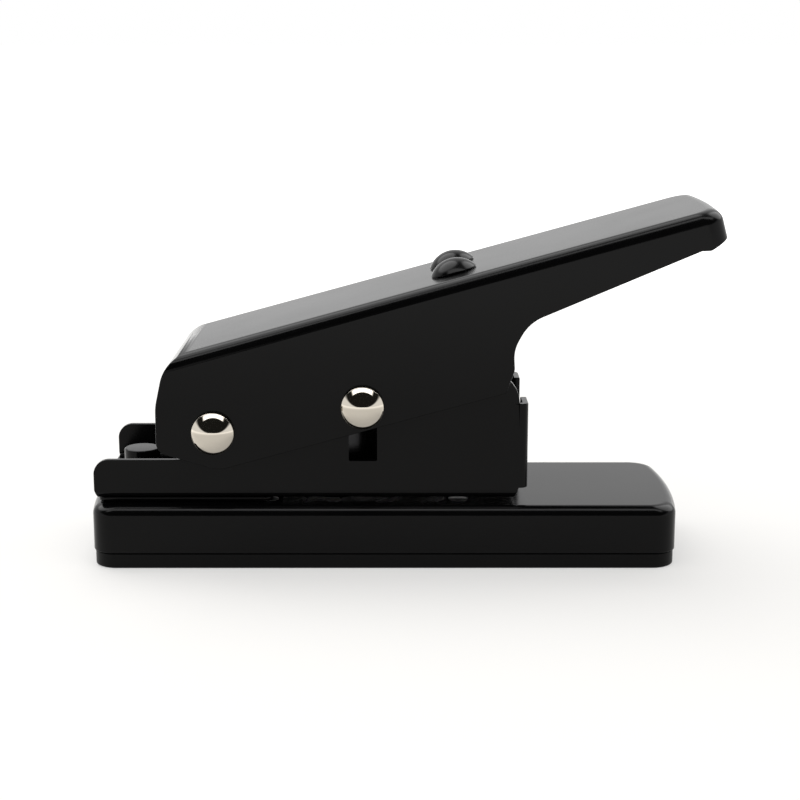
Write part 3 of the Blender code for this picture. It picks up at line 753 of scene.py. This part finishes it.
# A tree that sets one form out in rows, turns each one on from the last, and tilts and places the set
rows_tree, rows_ids, rows_in = open_tree(
    "rows_of_one_form",
    (
        ("Geometry", "Form", None),
        ("Int", "Number Along", 1),
        ("Int", "Number Across", 2),
        ("Float", "Step Along", 0.0),
        ("Float", "Step Across", 0.0),
        ("Float", "Turn Step", 0.0),
        ("Vector", "Middle", (0, 0, 0)),
        ("Vector", "Tilt", (0, 0, 0)),
        ("Vector", "Place", (0, 0, 0)),
        ("Material", "Finish", None),
    ),
)
rows_index = rows_tree.nodes.new("GeometryNodeInputIndex").outputs["Index"]
number_across = rows_in["Number Across"]
number_along = rows_in["Number Along"]
row_along = number_node(rows_tree, "FLOOR", number_node(rows_tree, "DIVIDE", rows_index, number_across))
row_across = number_node(rows_tree, "MODULO", rows_index, number_across)
centred = []
for row, number, step in (
    (row_along, number_along, rows_in["Step Along"]),
    (row_across, number_across, rows_in["Step Across"]),
):
    half_run = number_node(rows_tree, "DIVIDE", number_node(rows_tree, "SUBTRACT", number, 1), 2)
    from_middle = number_node(rows_tree, "SUBTRACT", row, half_run)
    centred.append(number_node(rows_tree, "MULTIPLY", from_middle, step))
rows_spot = add_node(rows_tree, "ShaderNodeCombineXYZ", {"X": centred[0], "Y": centred[1]}).outputs[0]
rows_moved = add_node(rows_tree, "ShaderNodeVectorMath", {0: rows_spot, 1: rows_in["Middle"]}).outputs[0]
rows_count = number_node(rows_tree, "MULTIPLY", number_along, number_across)
rows_points = add_node(rows_tree, "GeometryNodePoints", {"Count": rows_count, "Position": rows_moved})
turn_so_far = number_node(rows_tree, "MULTIPLY", rows_index, rows_in["Turn Step"])
rows_turn = add_node(rows_tree, "ShaderNodeCombineXYZ", {"Z": turn_so_far})
rows_rotation = add_node(rows_tree, "FunctionNodeEulerToRotation", {0: rows_turn.outputs[0]})
instance_inputs = {
    "Points": rows_points.outputs[0],
    "Instance": rows_in["Form"],
    "Rotation": rows_rotation.outputs[0],
}
rows_instances = add_node(rows_tree, "GeometryNodeInstanceOnPoints", instance_inputs)
rows_tilt = add_node(rows_tree, "FunctionNodeEulerToRotation", {0: rows_in["Tilt"]})
place_inputs = {
    "Geometry": rows_instances.outputs[0],
    "Rotation": rows_tilt.outputs[0],
    "Translation": rows_in["Place"],
}
rows_place = add_node(rows_tree, "GeometryNodeTransform", place_inputs)
close_tree(rows_tree, rows_place.outputs[0], rows_in["Finish"])


def set_out(form, finish, **values):
    """Sets a form out with the tree above, and leaves one plain mesh."""
    rows = form.modifiers.new("rows", "NODES")
    rows.node_group = rows_tree
    for name, value in values.items():
        rows[rows_ids[name.replace("_", " ").title()]] = value
    rows[rows_ids["Finish"]] = finish
    settle(form)


die_rivet_profile = [
    (0, base_height),
    (die_rivet_head_radius, base_height),
    (die_rivet_radius, base_height - die_rivet_head_depth),
    (die_rivet_radius, die_rivet_foot),
    (die_rivet_foot_radius, die_rivet_foot),
    (die_rivet_foot_radius, die_rivet_foot - die_rivet_foot_height),
    (0, die_rivet_foot - die_rivet_foot_height),
]
die_rivets = blank("die_rivets", turned(die_rivet_profile, segments=rivet_segments))
break_edges(die_rivets, die_rivet_edge)
set_out(
    die_rivets,
    zinc_plating,
    number_along=2,
    number_across=2,
    step_along=2 * die_rivet_x,
    step_across=2 * die_rivet_y,
    middle=(drive_pin_x, 0, 0),
)
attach(die_rivets, "base")
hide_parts("die_rivet_1", "die_rivet_2", "die_rivet_3", "die_rivet_4")

# Spacer plate
# A strip of enamelled sheet between the shell and the rear half of the channel. Its thickness is what
# leaves the throat in front of it open for the card.

spacer_rear = -67.3 * mm
spacer_front = -26.2 * mm
spacer_width = 33.8 * mm
spacer_low = 15.15 * mm
spacer_high = 16.0 * mm
spacer_corner_radius = 2.0 * mm
spacer_edge = 0.1 * mm

spacer_outline = rectangle(spacer_front - spacer_rear, spacer_width, spacer_corner_radius)
spacer_strip = blank(
    "spacer_strip",
    prism_upright(spacer_outline, spacer_low, spacer_high),
    Matrix.Translation(((spacer_rear + spacer_front) / 2, 0, 0)),
)
drill_clamps(spacer_strip)
break_edges(spacer_strip, spacer_edge)
coat(spacer_strip, black_enamel)
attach(spacer_strip, "base")
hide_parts("spacer_plate")

# Channel
# The bracket that carries the lever and guides the punch, folded up from 1.5 mm steel and enamelled. Its
# walls are low at the rear and high in front, end in two inward flanges, and each has a slot for the pin.

channel_rear = -67.8 * mm
channel_bottom = 16.2 * mm
channel_floor = 17.7 * mm
channel_half = 19.0 * mm
channel_length = 101.25 * mm
channel_sheet = 1.5 * mm
channel_bend = 2.1 * mm
rear_wall_height = 9.4 * mm
front_wall_height = 30.2 * mm
rear_corner_radius = 3.6 * mm
rear_undercut = 0.6 * mm
rear_undercut_height = 2.0 * mm
front_corner_radius = 7.5 * mm
wall_ramp_start = 21.7 * mm
wall_ramp_run = 10.5 * mm
wall_ramp_radius = 4.0 * mm
front_undercut = 0.8 * mm
flange_width = 8.0 * mm
flange_bottom = 2.6 * mm
flange_top = 22.7 * mm
flange_root = 1.2 * mm
slot_bottom = 25.3 * mm
slot_corner_radius = 0.4 * mm
slot_half = 3.3 * mm
guide_clearance = 0.3 * mm
pin_radius = 3.0 * mm
rear_pin_x = -39.4 * mm
rear_pin_z = 32.65 * mm
drive_pin_z = 38.72 * mm
spring_foot_x = 19.3 * mm
spring_across = 7.0 * mm
boss_radius = 3.2 * mm
boss_height = 1.6 * mm
sheared_edge = 0.22 * mm
hole_reach = 30.0 * mm


def level_hole(name, radius, x, z, move=None):
    hole = turned([(0, -hole_reach), (radius, -hole_reach), (radius, hole_reach), (0, hole_reach)])
    turn = Matrix.Translation((x, 0, z)) @ Matrix.Rotation(right_angle, 4, "X")
    return blank(name, hole, turn if move is None else move @ turn)


wall_end = channel_length - channel_bend
section_high = channel_bottom + front_wall_height + overrun
section_inner = channel_bend - channel_sheet
channel_section = rounded_outline(
    [
        (-channel_half, section_high, 0),
        (-channel_half, channel_bottom, channel_bend),
        (channel_half, channel_bottom, channel_bend),
        (channel_half, section_high, 0),
        (channel_half - channel_sheet, section_high, 0),
        (channel_half - channel_sheet, channel_floor, section_inner),
        (-channel_half + channel_sheet, channel_floor, section_inner),
        (-channel_half + channel_sheet, section_high, 0),
    ]
)
channel_ends = (channel_rear - overrun, channel_rear + channel_length + overrun)
channel_folding = blank(
    "channel_folding", skin_over([[(end, y, z) for y, z in channel_section] for end in channel_ends])
)
channel_side = rounded_outline(
    [
        (rear_undercut, -overrun, 0),
        (rear_undercut, 0, 0),
        (0, rear_undercut_height, 0),
        (0, rear_wall_height, rear_corner_radius),
        (wall_ramp_start, rear_wall_height, wall_ramp_radius),
        (wall_ramp_start + wall_ramp_run, front_wall_height, wall_ramp_radius),
        (wall_end, front_wall_height, front_corner_radius),
        (wall_end, flange_bottom, 0),
        (wall_end - front_undercut, 0, 0),
        (wall_end - front_undercut, -overrun, 0),
    ]
)
channel_side = [(channel_rear + x, channel_bottom + z) for x, z in channel_side]
side_tool = prism_through(channel_side, channel_half)
cut(channel_folding, blank("channel_side_tool", side_tool), "INTERSECT")
flange_face = channel_rear + channel_length
flange_outline = rounded_outline(
    [
        (channel_rear + wall_end - flange_root, 0, 0),
        (flange_face, 0, channel_bend),
        (flange_face, flange_width, 0),
        (flange_face - channel_sheet, flange_width, 0),
        (flange_face - channel_sheet, channel_sheet, section_inner),
        (channel_rear + wall_end - flange_root, channel_sheet, 0),
    ]
)
for side in (-1, 1):
    flange = prism_upright(
        [(x, side * (channel_half - y)) for x, y in flange_outline],
        channel_bottom + flange_bottom,
        channel_bottom + flange_top,
    )
    cut(channel_folding, blank("flange_form", flange), "UNION")
break_edges(channel_folding, sheared_edge)
guide_outline = pick_outline(guide_clearance)
guide_tool = prism_upright(guide_outline, channel_bottom - overrun, channel_floor + overrun / 2)
cut(channel_folding, blank("guide_tool", guide_tool, die_spot))
slot_top = drive_pin_z + slot_half
slot_outline = four_corners((-slot_half, slot_bottom), (slot_half, slot_top), slot_corner_radius, slot_half)
slot_tool = prism_through([(drive_pin_x + x, z) for x, z in slot_outline], channel_half)
cut(channel_folding, blank("slot_tool", slot_tool))
cut(channel_folding, level_hole("pin_tool", pin_radius + running_gap, rear_pin_x, rear_pin_z))
drill_clamps(channel_folding)
for side in (-1, 1):
    boss_levels = [
        (0, channel_bottom + channel_sheet / 2),
        (boss_radius, channel_bottom + channel_sheet / 2),
        (boss_radius, channel_floor + boss_height),
        (0, channel_floor + boss_height),
    ]
    boss_spot = Matrix.Translation((spring_foot_x, side * spring_across, 0))
    boss_form = turned(boss_levels, segments=rivet_segments)
    cut(channel_folding, blank("boss_form", boss_form, boss_spot), "UNION")
even_shading(channel_folding)
coat(channel_folding, black_enamel)
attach(channel_folding, "base")
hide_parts("channel")

# Rear post and channel rivets
# Turned steel pieces that clamp channel, spacer and shell together, enamelled with them: a tall stud
# behind the lever, and two low round-headed rivets in front of it.

rear_post_radius = 4.3 * mm
rear_post_top = 23.95 * mm
rear_post_edge = 0.4 * mm
rivet_seat = 17.9 * mm
rivet_head_radius = 3.6 * mm
rivet_head_height = 1.3 * mm
rivet_foot_radius = 3.4 * mm
rivet_foot_high = 13.55 * mm
rivet_foot_low = 12.55 * mm
post_sharp_edge = 0.12 * mm
rivet_sharp_edge = 0.1 * mm


def dome(radius, height, foot, steps=10):
    """Profile points of a dome of the given radius and height that stands on z = foot."""
    sphere = (radius**2 + height**2) / (2 * height)
    spread = math.asin(radius / sphere)
    points = []
    for step in range(steps):
        angle = spread * (1 - step / steps)
        points.append((sphere * math.sin(angle), foot + height - sphere * (1 - math.cos(angle))))
    return points + [(0, foot + height)]


shank_profile = [
    (rivet_shank_radius, rivet_seat),
    (rivet_shank_radius, rivet_foot_high),
    (rivet_foot_radius, rivet_foot_high),
    (rivet_foot_radius, rivet_foot_low),
    (0, rivet_foot_low),
]
rear_post_round = edge_round(rear_post_edge, rear_post_top, 0, steps=2)
rear_post_profile = [
    (0, rear_post_top),
    *[(rear_post_radius - inset, height) for height, inset in reversed(rear_post_round)],
    (rear_post_radius, rivet_seat),
    *shank_profile,
]
rear_stud = blank("rear_stud", turned(rear_post_profile), Matrix.Translation((rear_post_x, 0, 0)))
break_edges(rear_stud, post_sharp_edge)
coat(rear_stud, black_enamel)
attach(rear_stud, "base")
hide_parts("rear_post")

rivet_profile = [*reversed(dome(rivet_head_radius, rivet_head_height, rivet_seat)), *shank_profile]
channel_rivets = blank("channel_rivets", turned(rivet_profile, segments=rivet_segments))
break_edges(channel_rivets, rivet_sharp_edge)
set_out(
    channel_rivets,
    black_enamel,
    number_across=2,
    step_across=2 * channel_rivet_y,
    middle=(channel_rivet_x, 0, 0),
)
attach(channel_rivets, "base")
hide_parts("channel_rivet_1", "channel_rivet_2")

# Lever
# The handle, pressed from one 1.5 mm steel sheet: a flat top whose sides are folded down into skirts,
# deep around the pins and shallow along the grip, with a short lip at the back. Enamelled black.

lever_sheet = 1.5 * mm
lever_bend = 3.0 * mm
lever_inner_bend = 1.5 * mm
lever_tilt = math.radians(15.33)
lever_half = 21.55 * mm
lever_top = 19.4 * mm
lever_reach = 125.55 * mm
lever_end_bow = 0.8 * mm
lever_corner_radius = 6.5 * mm
lever_back_top = (-5.8 * mm, 19.4 * mm, 9.2 * mm)
lever_shoulder = (-11.15 * mm, 9.25 * mm, 14.0 * mm)
lever_heel = (-14.0 * mm, -1.0 * mm, 3.0 * mm)
lever_sole = (-1.3 * mm, -8.9 * mm, 7.0 * mm)
lever_front = (67.5 * mm, -8.9 * mm, 1.5 * mm)
lever_front_corner = (70.75 * mm, -4.2 * mm, 3.0 * mm)
lever_crook_low = (71.75 * mm, 0.45 * mm, 12.0 * mm)
lever_crook = (76.65 * mm, 5.53 * mm, 9.8 * mm)
handle_step = (118.2 * mm, 11.08 * mm, 1.0 * mm)
handle_end_start = (120.3 * mm, 10.6 * mm, 1.5 * mm)
handle_tip_height = 13.7 * mm
back_lip_length = 7.8 * mm
back_lip_radius = 5.5 * mm
back_lip_relief = 0.9 * mm
back_lip_relief_start = 4.5 * mm
drive_pin_ahead = 34.45 * mm
drive_pin_rise = 6.07 * mm
drive_slot_play = 0.3 * mm
post_ahead = 63.0 * mm
post_shank_radius = 2.5 * mm

lever_place = Matrix.Translation((rear_pin_x, 0, rear_pin_z)) @ Matrix.Rotation(-lever_tilt, 4, "Y")
lever_end = lever_reach + overrun
lever_side = rounded_outline(
    [
        lever_back_top,
        lever_shoulder,
        lever_heel,
        lever_sole,
        lever_front,
        lever_front_corner,
        lever_crook_low,
        lever_crook,
        handle_step,
        handle_end_start,
        (lever_end, handle_tip_height, 0),
        (lever_end, lever_top, 0),
    ]
)


def lever_plan(inset):
    return bowed_plan(
        lever_heel[0] - overrun,
        lever_reach - inset,
        2 * (lever_half - inset),
        lever_corner_radius - inset,
        0,
        lever_end_bow,
    )


lever_bottom = lever_sole[1] - overrun
lever_levels = [(lever_bottom, 0), *edge_round(lever_bend, lever_top, 0)]
lever_pressing = blank("lever_pressing", skin_over(levels_of(lever_plan, lever_levels)))
lever_side_tool = prism_through(lever_side, lever_half)
cut(lever_pressing, blank("lever_side_tool", lever_side_tool), "INTERSECT")

back_top = Vector(lever_back_top[:2])
back_line = (Vector(lever_shoulder[:2]) - back_top).normalized()
back_inward = Vector((-back_line.y, back_line.x))
ceiling = lever_top - lever_sheet
lip_inner = back_top + back_line * back_lip_length + back_inward * lever_sheet
lip_outer = lip_inner - back_inward * (lever_sheet + overrun)
inner_corner = lip_inner - back_line * ((lip_inner.y - ceiling) / back_line.y)
lever_back = lever_heel[0] - 2 * overrun
inside_outline = rounded_outline(
    [
        (lever_back, lever_bottom - overrun, 0),
        (lever_end, lever_bottom - overrun, 0),
        (lever_end, lever_top + overrun, 0),
        (inner_corner.x + 4 * overrun, lever_top + overrun, 0),
        (inner_corner.x + 4 * overrun, ceiling + running_gap, 0),
        (inner_corner.x, inner_corner.y, back_lip_radius),
        (lip_inner.x, lip_inner.y, 0),
        (lip_outer.x, lip_outer.y, 0),
        (lever_back, lip_outer.y, 0),
    ]
)
inside_round = edge_round(lever_inner_bend, ceiling, lever_sheet, steps=4)
inside_levels = [(lever_bottom - overrun, lever_sheet), *inside_round]
inside_tool = blank("inside_tool", skin_over(levels_of(lever_plan, inside_levels)))
inside_side = prism_through(inside_outline, lever_half)
cut(inside_tool, blank("inside_side_tool", inside_side), "INTERSECT")
cut(lever_pressing, inside_tool)

lip_slit = []
for along, inward in (
    (back_lip_relief_start, lever_sheet + overrun),
    (back_lip_length + overrun, lever_sheet + overrun),
    (back_lip_length + overrun, -overrun),
    (back_lip_relief_start, -overrun),
):
    corner = back_top + back_line * along + back_inward * inward
    lip_slit.append((corner.x, corner.y))
lever_inner_half = lever_half - lever_sheet
for side in (-1, 1):
    slit_edges = sorted((side * lever_inner_half, side * (lever_inner_half - back_lip_relief)))
    cut(lever_pressing, blank("slit_tool", prism_across(lip_slit, *slit_edges)))

break_edges(lever_pressing, sheared_edge)
cut(lever_pressing, level_hole("pin_tool", pin_radius + running_gap, 0, 0))
drive_reach = math.hypot(drive_pin_ahead, drive_pin_rise)
drive_angle = math.atan2(drive_pin_rise, drive_pin_ahead) - lever_tilt
oblong_half = pin_radius + running_gap
oblong_low = drive_pin_ahead - oblong_half - drive_slot_play
oblong_high = drive_reach + oblong_half + drive_slot_play
oblong = four_corners((oblong_low, -oblong_half), (oblong_high, oblong_half), oblong_half, oblong_half)
oblong_tool = prism_through(oblong, lever_half)
cut(lever_pressing, blank("oblong_tool", oblong_tool, Matrix.Rotation(-drive_angle, 4, "Y")))
for side in (-1, 1):
    post_hole = upright_hole(
        "post_tool",
        post_shank_radius + running_gap,
        post_ahead,
        side * spring_across,
        ceiling - overrun,
        lever_top + overrun,
    )
    cut(lever_pressing, post_hole)
even_shading(lever_pressing)
lever_pressing.data.transform(lever_place)
coat(lever_pressing, black_enamel)
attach(lever_pressing, "handle")
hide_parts("lever")

# Spring posts
# Two round-headed studs riveted through the lever's top, enamelled with it. Each has a peg below that
# keeps a return spring in its place.

post_head_radius = 5.5 * mm
post_head_height = 3.0 * mm
post_peg_radius = 3.2 * mm
post_peg_length = 7.0 * mm
seat_gap = 0.2 * mm
post_head_edge = 0.2 * mm

post_profile = [
    *reversed(dome(post_head_radius, post_head_height, lever_top + seat_gap, steps=16)),
    (post_shank_radius, lever_top + seat_gap),
    (post_shank_radius, ceiling - seat_gap),
    (post_peg_radius, ceiling - seat_gap),
    (post_peg_radius, ceiling - seat_gap - post_peg_length),
    (0, ceiling - seat_gap - post_peg_length),
]
spring_posts = blank("spring_posts", turned(post_profile))
break_edges(spring_posts, post_head_edge)
set_out(
    spring_posts,
    black_enamel,
    number_across=2,
    step_across=2 * spring_across,
    middle=(post_ahead, 0, 0),
    tilt=(0, -lever_tilt, 0),
    place=(rear_pin_x, 0, rear_pin_z),
)
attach(spring_posts, "handle")
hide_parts("spring_post_near", "spring_post_far")

# Return springs
# Two coils of oiled spring wire that stand on bosses in the channel's floor, lean forward into the
# raised lever and lift it again after each cut.

spring_wire = 1.1 * mm
spring_radius = 4.7 * mm
spring_turns = 9
spring_end_pitch = 1.7 * mm
spring_points_per_turn = 28
spring_wire_sides = 14

spring_steel = finish_of(
    "oiled_spring_wire",
    colours=((0.28, 0.28, 0.29), (0.38, 0.38, 0.38)),
    roughness=(0.24, 0.36),
    stretch=(1, 1, 0.3),
    grain_scale=2800,
    patch_scale=300,
    relief=0.003 * mm,
)

# A tree that draws a round wire along a route
wire_tree, wire_ids, wire_in = open_tree(
    "wire_along_route",
    (
        ("Geometry", "Route", None),
        ("Float", "Wire Radius", spring_wire / 2),
        ("Int", "Sides", spring_wire_sides),
        ("Material", "Finish", None),
    ),
)
wire_curve = add_node(wire_tree, "GeometryNodeMeshToCurve", {"Mesh": wire_in["Route"]})
round_inputs = {"Resolution": wire_in["Sides"], "Radius": wire_in["Wire Radius"]}
wire_round = add_node(wire_tree, "GeometryNodeCurvePrimitiveCircle", round_inputs)
skin_inputs = {
    "Curve": wire_curve.outputs["Curve"],
    "Profile Curve": wire_round.outputs["Curve"],
    "Fill Caps": True,
}
wire_skin = add_node(wire_tree, "GeometryNodeCurveToMesh", skin_inputs)
close_tree(wire_tree, wire_skin.outputs["Mesh"], wire_in["Finish"])

spring_low = Vector((spring_foot_x, channel_floor + seat_gap + spring_wire / 2))
lever_normal = Vector((-math.sin(lever_tilt), math.cos(lever_tilt)))
lever_along = Vector((math.cos(lever_tilt), math.sin(lever_tilt)))
spring_seat = ceiling - seat_gap - spring_wire / 2
spring_high = Vector((rear_pin_x, rear_pin_z)) + lever_along * post_ahead + lever_normal * spring_seat
spring_rise = (spring_high - spring_low).length
low_pull = Vector((0, spring_rise))
high_pull = lever_normal * spring_rise


def spring_middle(share):
    """Point and direction of the spring's middle line, in the X and Z plane."""
    keep = 1 - share
    point = (
        spring_low * (keep**2 * (1 + 2 * share))
        + low_pull * (share * keep**2)
        + spring_high * (share**2 * (3 - 2 * share))
        - high_pull * (share**2 * keep)
    )
    slope = (
        (spring_high - spring_low) * (6 * share * keep)
        + low_pull * (keep * (1 - 3 * share))
        + high_pull * (share * (3 * share - 2))
    )
    return point, slope.normalized()


def spring_share(turn):
    """How far along its middle line the wire is after so many turns: close at the ends, open between."""
    end_rise = spring_end_pitch / spring_rise
    if turn < 1:
        return end_rise * turn
    if turn > spring_turns - 1:
        return 1 - end_rise * (spring_turns - turn)
    return end_rise + (1 - 2 * end_rise) * (turn - 1) / (spring_turns - 2)


for side_name, side in (("near", -1), ("far", 1)):
    route = []
    for step in range(spring_turns * spring_points_per_turn + 1):
        turn = step / spring_points_per_turn
        middle, direction = spring_middle(spring_share(turn))
        flat = middle + Vector((direction.y, -direction.x)) * (spring_radius * math.cos(math.tau * turn))
        across = side * spring_across + spring_radius * math.sin(math.tau * turn)
        route.append((flat.x, across, flat.y))
    route_mesh = bpy.data.meshes.new(f"spring_coil_{side_name}")
    route_mesh.from_pydata(route, [(index, index + 1) for index in range(len(route) - 1)], [])
    spring_coil = bpy.data.objects.new(f"spring_coil_{side_name}", route_mesh)
    bpy.context.scene.collection.objects.link(spring_coil)
    drawn = spring_coil.modifiers.new("wire", "NODES")
    drawn.node_group = wire_tree
    drawn[wire_ids["Wire Radius"]] = spring_wire / 2
    drawn[wire_ids["Sides"]] = spring_wire_sides
    drawn[wire_ids["Finish"]] = spring_steel
    settle(spring_coil)
    spring_coil.data.shade_smooth()
    spring_coil.data.set_sharp_from_angle(angle=sharp_turn)
    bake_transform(spring_coil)
    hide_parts(f"return_spring_{side_name}")

# Punch
# The pick-shaped block of tool steel that the drive pin carries, coloured darker than bare steel as a
# painted shade for the dim recess behind the slot. Its lower end keeps a sharp cutting edge, its top is
# chamfered, and its side shows through the slot below the front cap.

punch_low = 16.6 * mm
punch_high = 46.6 * mm
punch_chamfer = 0.8 * mm
punch_edge = 0.05 * mm

# Tool steel darker than the ground die steel: painted shade for the recess behind the slot, where the punch
# shows.
punch_steel_painted_shade = finish_of(
    "tool_steel_painted_shade",
    colours=((0.030, 0.030, 0.032), (0.045, 0.045, 0.046)),
    roughness=(0.22, 0.30),
    stretch=(0.06, 1, 1),
    grain_scale=3200,
    patch_scale=120,
    relief=0.003 * mm,
)
punch_levels = [
    (punch_low, 0),
    (punch_high - punch_chamfer, 0),
    (punch_high, -punch_chamfer),
]
pick_punch = blank("pick_punch", skin_over(levels_of(pick_outline, punch_levels)), die_spot)
cut(pick_punch, level_hole("pin_tool", pin_radius + running_gap, drive_pin_x, drive_pin_z))
break_edges(pick_punch, punch_edge, segments=1)
coat(pick_punch, punch_steel_painted_shade)
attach(pick_punch, "ram")
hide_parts("punch")

# Pins
# Two zinc-plated steel bars, chamfered at both ends. The rear one is the lever's hinge, and the front one
# runs through lever, slots and punch and drives the punch down.

pin_end = 23.45 * mm
pin_chamfer = 0.4 * mm
pin_edge = 0.08 * mm

pin_profile = [
    (0, -pin_end),
    (pin_radius - pin_chamfer, -pin_end),
    (pin_radius, -pin_end + pin_chamfer),
    (pin_radius, pin_end - pin_chamfer),
    (pin_radius - pin_chamfer, pin_end),
    (0, pin_end),
]
level_form = Matrix.Rotation(right_angle, 4, "X")
pin_spots = {
    "rear": Matrix.Translation((rear_pin_x, 0, rear_pin_z)),
    "drive": Matrix.Translation((drive_pin_x, 0, drive_pin_z)),
}
pin_bodies = {"rear": "base", "drive": "ram"}
for set_name, spot in pin_spots.items():
    pin_bar = blank(f"{set_name}_pin_bar", turned(pin_profile), spot @ level_form)
    break_edges(pin_bar, pin_edge)
    coat(pin_bar, zinc_plating)
    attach(pin_bar, pin_bodies[set_name])
    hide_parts(f"{set_name}_pin")

# Washers
# Black nylon rings on each pin between the channel's walls and the lever's sides, which keep the enamel
# from rubbing.

washer_bore = 3.3 * mm
washer_radius = 5.0 * mm
washer_low = 19.2 * mm
washer_high = 19.85 * mm
washer_edge = 0.25 * mm

black_nylon = finish_of(
    "black_nylon",
    colours=((0.014, 0.014, 0.014), (0.022, 0.022, 0.022)),
    roughness=(0.42, 0.52),
    metallic=0.0,
    grain_scale=2200,
    patch_scale=150,
    relief=0.006 * mm,
    gloss=0.4,
)
washer_profile = [
    (washer_bore, washer_low),
    (washer_radius, washer_low),
    (washer_radius, washer_high),
    (washer_bore, washer_high),
]
for set_name, spot in pin_spots.items():
    washers = blank(f"{set_name}_washers", turned(washer_profile, closed=True), level_form)
    break_edges(washers, washer_edge)
    set_out(washers, black_nylon, number_across=2, turn_step=math.pi, place=tuple(spot.to_translation()))
    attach(washers, pin_bodies[set_name])
    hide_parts(f"{set_name}_washer_near", f"{set_name}_washer_far")

# Caps
# Four domed caps, drawn from thin steel and polished and plated bright, pressed on to the ends of the
# pins. Each dome starts from a short upright rim.

cap_radius = 5.0 * mm
cap_bore = 3.3 * mm
cap_seat = 21.75 * mm
cap_rim = 1.0 * mm
cap_height = 3.3 * mm
cap_ceiling = 23.75 * mm
cap_edge = 0.2 * mm
cap_edge_turn = math.radians(20)

bright_plating = finish_of(
    "bright_plating",
    colours=((0.64, 0.59, 0.51), (0.68, 0.63, 0.55)),
    roughness=(0.035, 0.07),
    grain_scale=1400,
    patch_scale=260,
    relief=0.0008 * mm,
)
cap_profile = [
    (0, cap_ceiling),
    (cap_bore, cap_ceiling),
    (cap_bore, cap_seat),
    (cap_radius, cap_seat),
    *dome(cap_radius, cap_height - cap_rim, cap_seat + cap_rim, steps=24),
]
for set_name, spot in pin_spots.items():
    caps = blank(f"{set_name}_caps", turned(cap_profile, segments=96), level_form)
    break_edges(caps, cap_edge, segments=3, turn=cap_edge_turn)
    set_out(caps, bright_plating, number_across=2, turn_step=math.pi, place=tuple(spot.to_translation()))
    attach(caps, pin_bodies[set_name])
    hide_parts(f"{set_name}_cap_near", f"{set_name}_cap_far")
